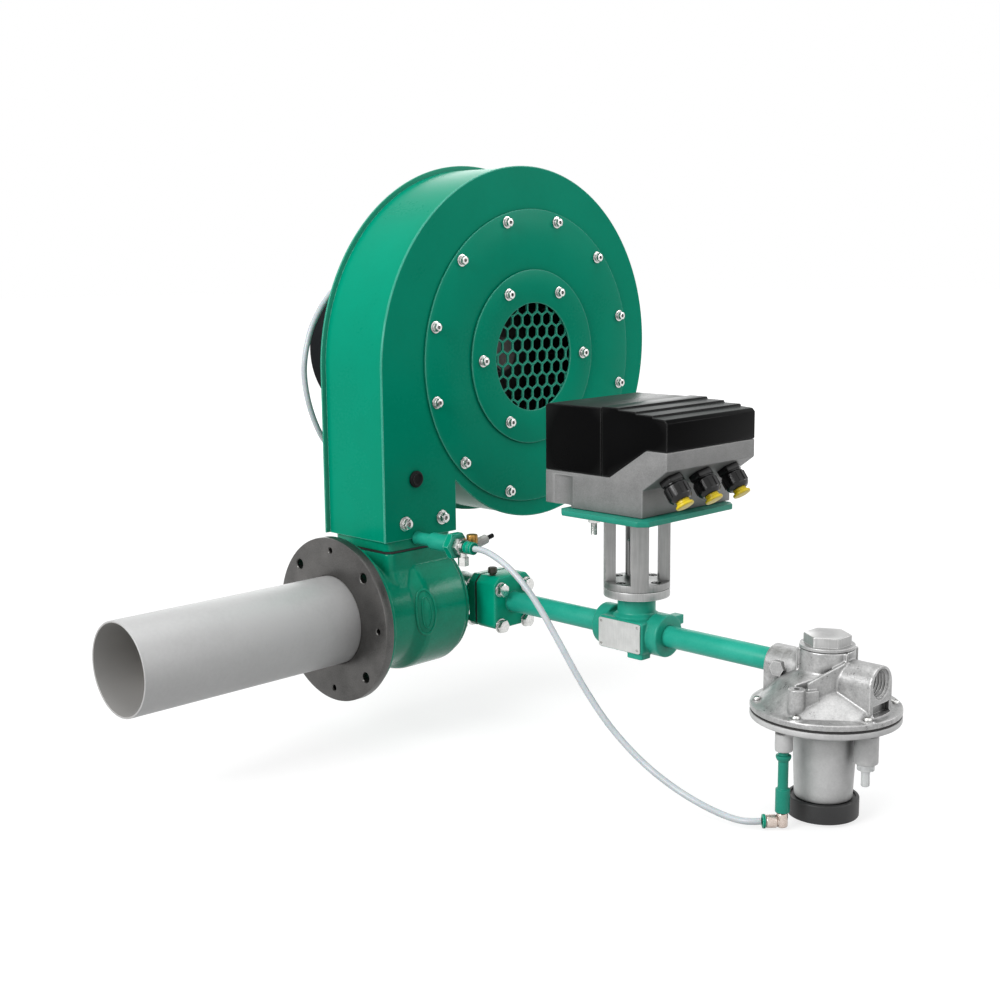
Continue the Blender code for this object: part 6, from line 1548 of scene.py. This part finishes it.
# Pressure tap: a green stub out of the adapter with a green nut, then a plated cross with a brass
# cap above, a drain plug below and a grey test nipple, and the green collar that holds the hose.
TAP_X = 0.077
TAP_Z = 0.078
ON_TAP = ((TAP_X, 0.0, TAP_Z), ALONG_FRONT)
CROSS_Y = -0.1107
CROSS_ARM = (TAP_X, CROSS_Y, TAP_Z)
NIPPLE_PLACE = (TAP_X + 0.0165, CROSS_Y, TAP_Z)
NIPPLE_TURN = (0.0, math.radians(77.5), 0.0)
stub_low, stub_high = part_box("tap_stub")
nut_low, nut_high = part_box("tap_tee")
push_low, push_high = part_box("hose_push_in")
stub_profile = [
    (0.0072, -stub_high.y),
    (0.0062, -stub_high.y + 0.004),
    (0.0062, 0.066),
    (0.0085, 0.067),
    (0.0085, -stub_low.y),
]
stub = turned(stub_profile, 0.0008, 64)
piece("tap_stub_tube", "tap_stub", stub, train_enamel, *ON_TAP, slot="green_paint")
green_nut = hexagon_head(0.0138, nut_high.y - nut_low.y)
piece("tap_green_nut", "tap_tee", green_nut, green_enamel, (TAP_X, nut_high.y, TAP_Z), ALONG_FRONT)
cross_start = -nut_low.y + GAP
cross_nut = hexagon_head(0.0092, 0.0056)
cross = piece("tap_cross", "test_nipple", cross_nut, zinc_plate, (TAP_X, -cross_start, TAP_Z), ALONG_FRONT)
fuse(cross, rod(0.0068, 0.004, 0.1148 - cross_start))
fuse(cross, rod(0.0041, -0.0110, 0.0005), CROSS_ARM, UPRIGHT)
fuse(cross, rod(0.0041, 0.0, 0.0165), CROSS_ARM, (0.0, math.radians(90), 0.0))
drain_place = (TAP_X, CROSS_Y, TAP_Z - 0.0102)
drain_plug = hexagon_head(0.0056, 0.0085)
piece("tap_drain_plug", None, drain_plug, zinc_plate, drain_place, (math.radians(180), 0.0, 0.0))
cap_brass = finish(
    "cap_brass", "brass", (0.30, 0.15, 0.03), (0.50, 0.28, 0.07), rough=(0.22, 0.36), cloud=180.0,
    grain=1400.0, depth=0.00003, metallic=0.7, hollow_shade=0.4,
)
brass_cap = turned([(0.0056, 0.0015), (0.0056, 0.0105)], 0.0012, 40)
piece("tap_brass_cap", None, brass_cap, cap_brass, (TAP_X + 0.0122, CROSS_Y, TAP_Z))
nipple_grey = finish(
    "nipple_grey", "white_hose", (0.44, 0.44, 0.42), (0.56, 0.56, 0.54), rough=(0.3, 0.42), cloud=160.0,
    grain=1400.0, depth=0.00003,
)
nipple_profile = [(0.0047, 0.0), (0.0047, 0.0150), (0.0030, 0.0158)]
sleeve = turned(nipple_profile, 0.0006, 40)
piece("test_nipple_sleeve", None, sleeve, nipple_grey, NIPPLE_PLACE, NIPPLE_TURN)
tip = turned([(0.0023, 0.0152), (0.0023, 0.0248)], 0.0006, 32)
piece("test_nipple_tip", None, tip, black_moulding, NIPPLE_PLACE, NIPPLE_TURN)
push_profile = [
    (0.0062, -push_high.y),
    (0.0062, -push_high.y + 0.0052),
    (0.0052, -push_high.y + 0.0058),
    (0.0052, -push_high.y + 0.0068),
    (0.0062, -push_high.y + 0.0074),
    (0.0062, -push_low.y),
]
piece("hose_collar", "hose_push_in", turned(push_profile, 0.0005, 48), green_enamel, *ON_TAP)

# Hose fittings on the back plate: plated straight fittings, one above the other, that hold the two
# ends of the casing hose.
for fitting in ("casing_hose_fitting_upper", "casing_hose_fitting_lower"):
    low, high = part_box(fitting)
    fitting_profile = [(0.008, 0.0), (0.008, 0.007), (0.0062, 0.008), (0.0062, high.y - low.y)]
    fitting_place = ((low.x + high.x) / 2, low.y, (low.z + high.z) / 2)
    fitting_shape = turned(fitting_profile, 0.0005, 48)
    piece(fitting + "_body", fitting, fitting_shape, zinc_plate, fitting_place, ALONG_REAR)

# Inner parts: the gas lance with its swirl plate, and the ceramic ignition electrode and flame
# probe. They show through the open flame tube and stay as the solids are.
ceramic = finish(
    "ceramic", None, (0.62, 0.60, 0.54), (0.76, 0.74, 0.68), rough=(0.3, 0.45), cloud=80.0, grain=900.0,
    depth=0.00004,
)
scorched_steel = finish(
    "scorched_steel", None, (0.09, 0.075, 0.065), (0.17, 0.145, 0.12), rough=(0.4, 0.55), cloud=70.0,
    grain=700.0, depth=0.00008, metallic=0.8, hollow_shade=0.5,
)
dress(scorched_steel, "gas_lance", "swirl_plate")
dress(ceramic, "ignition_electrode", "flame_probe")
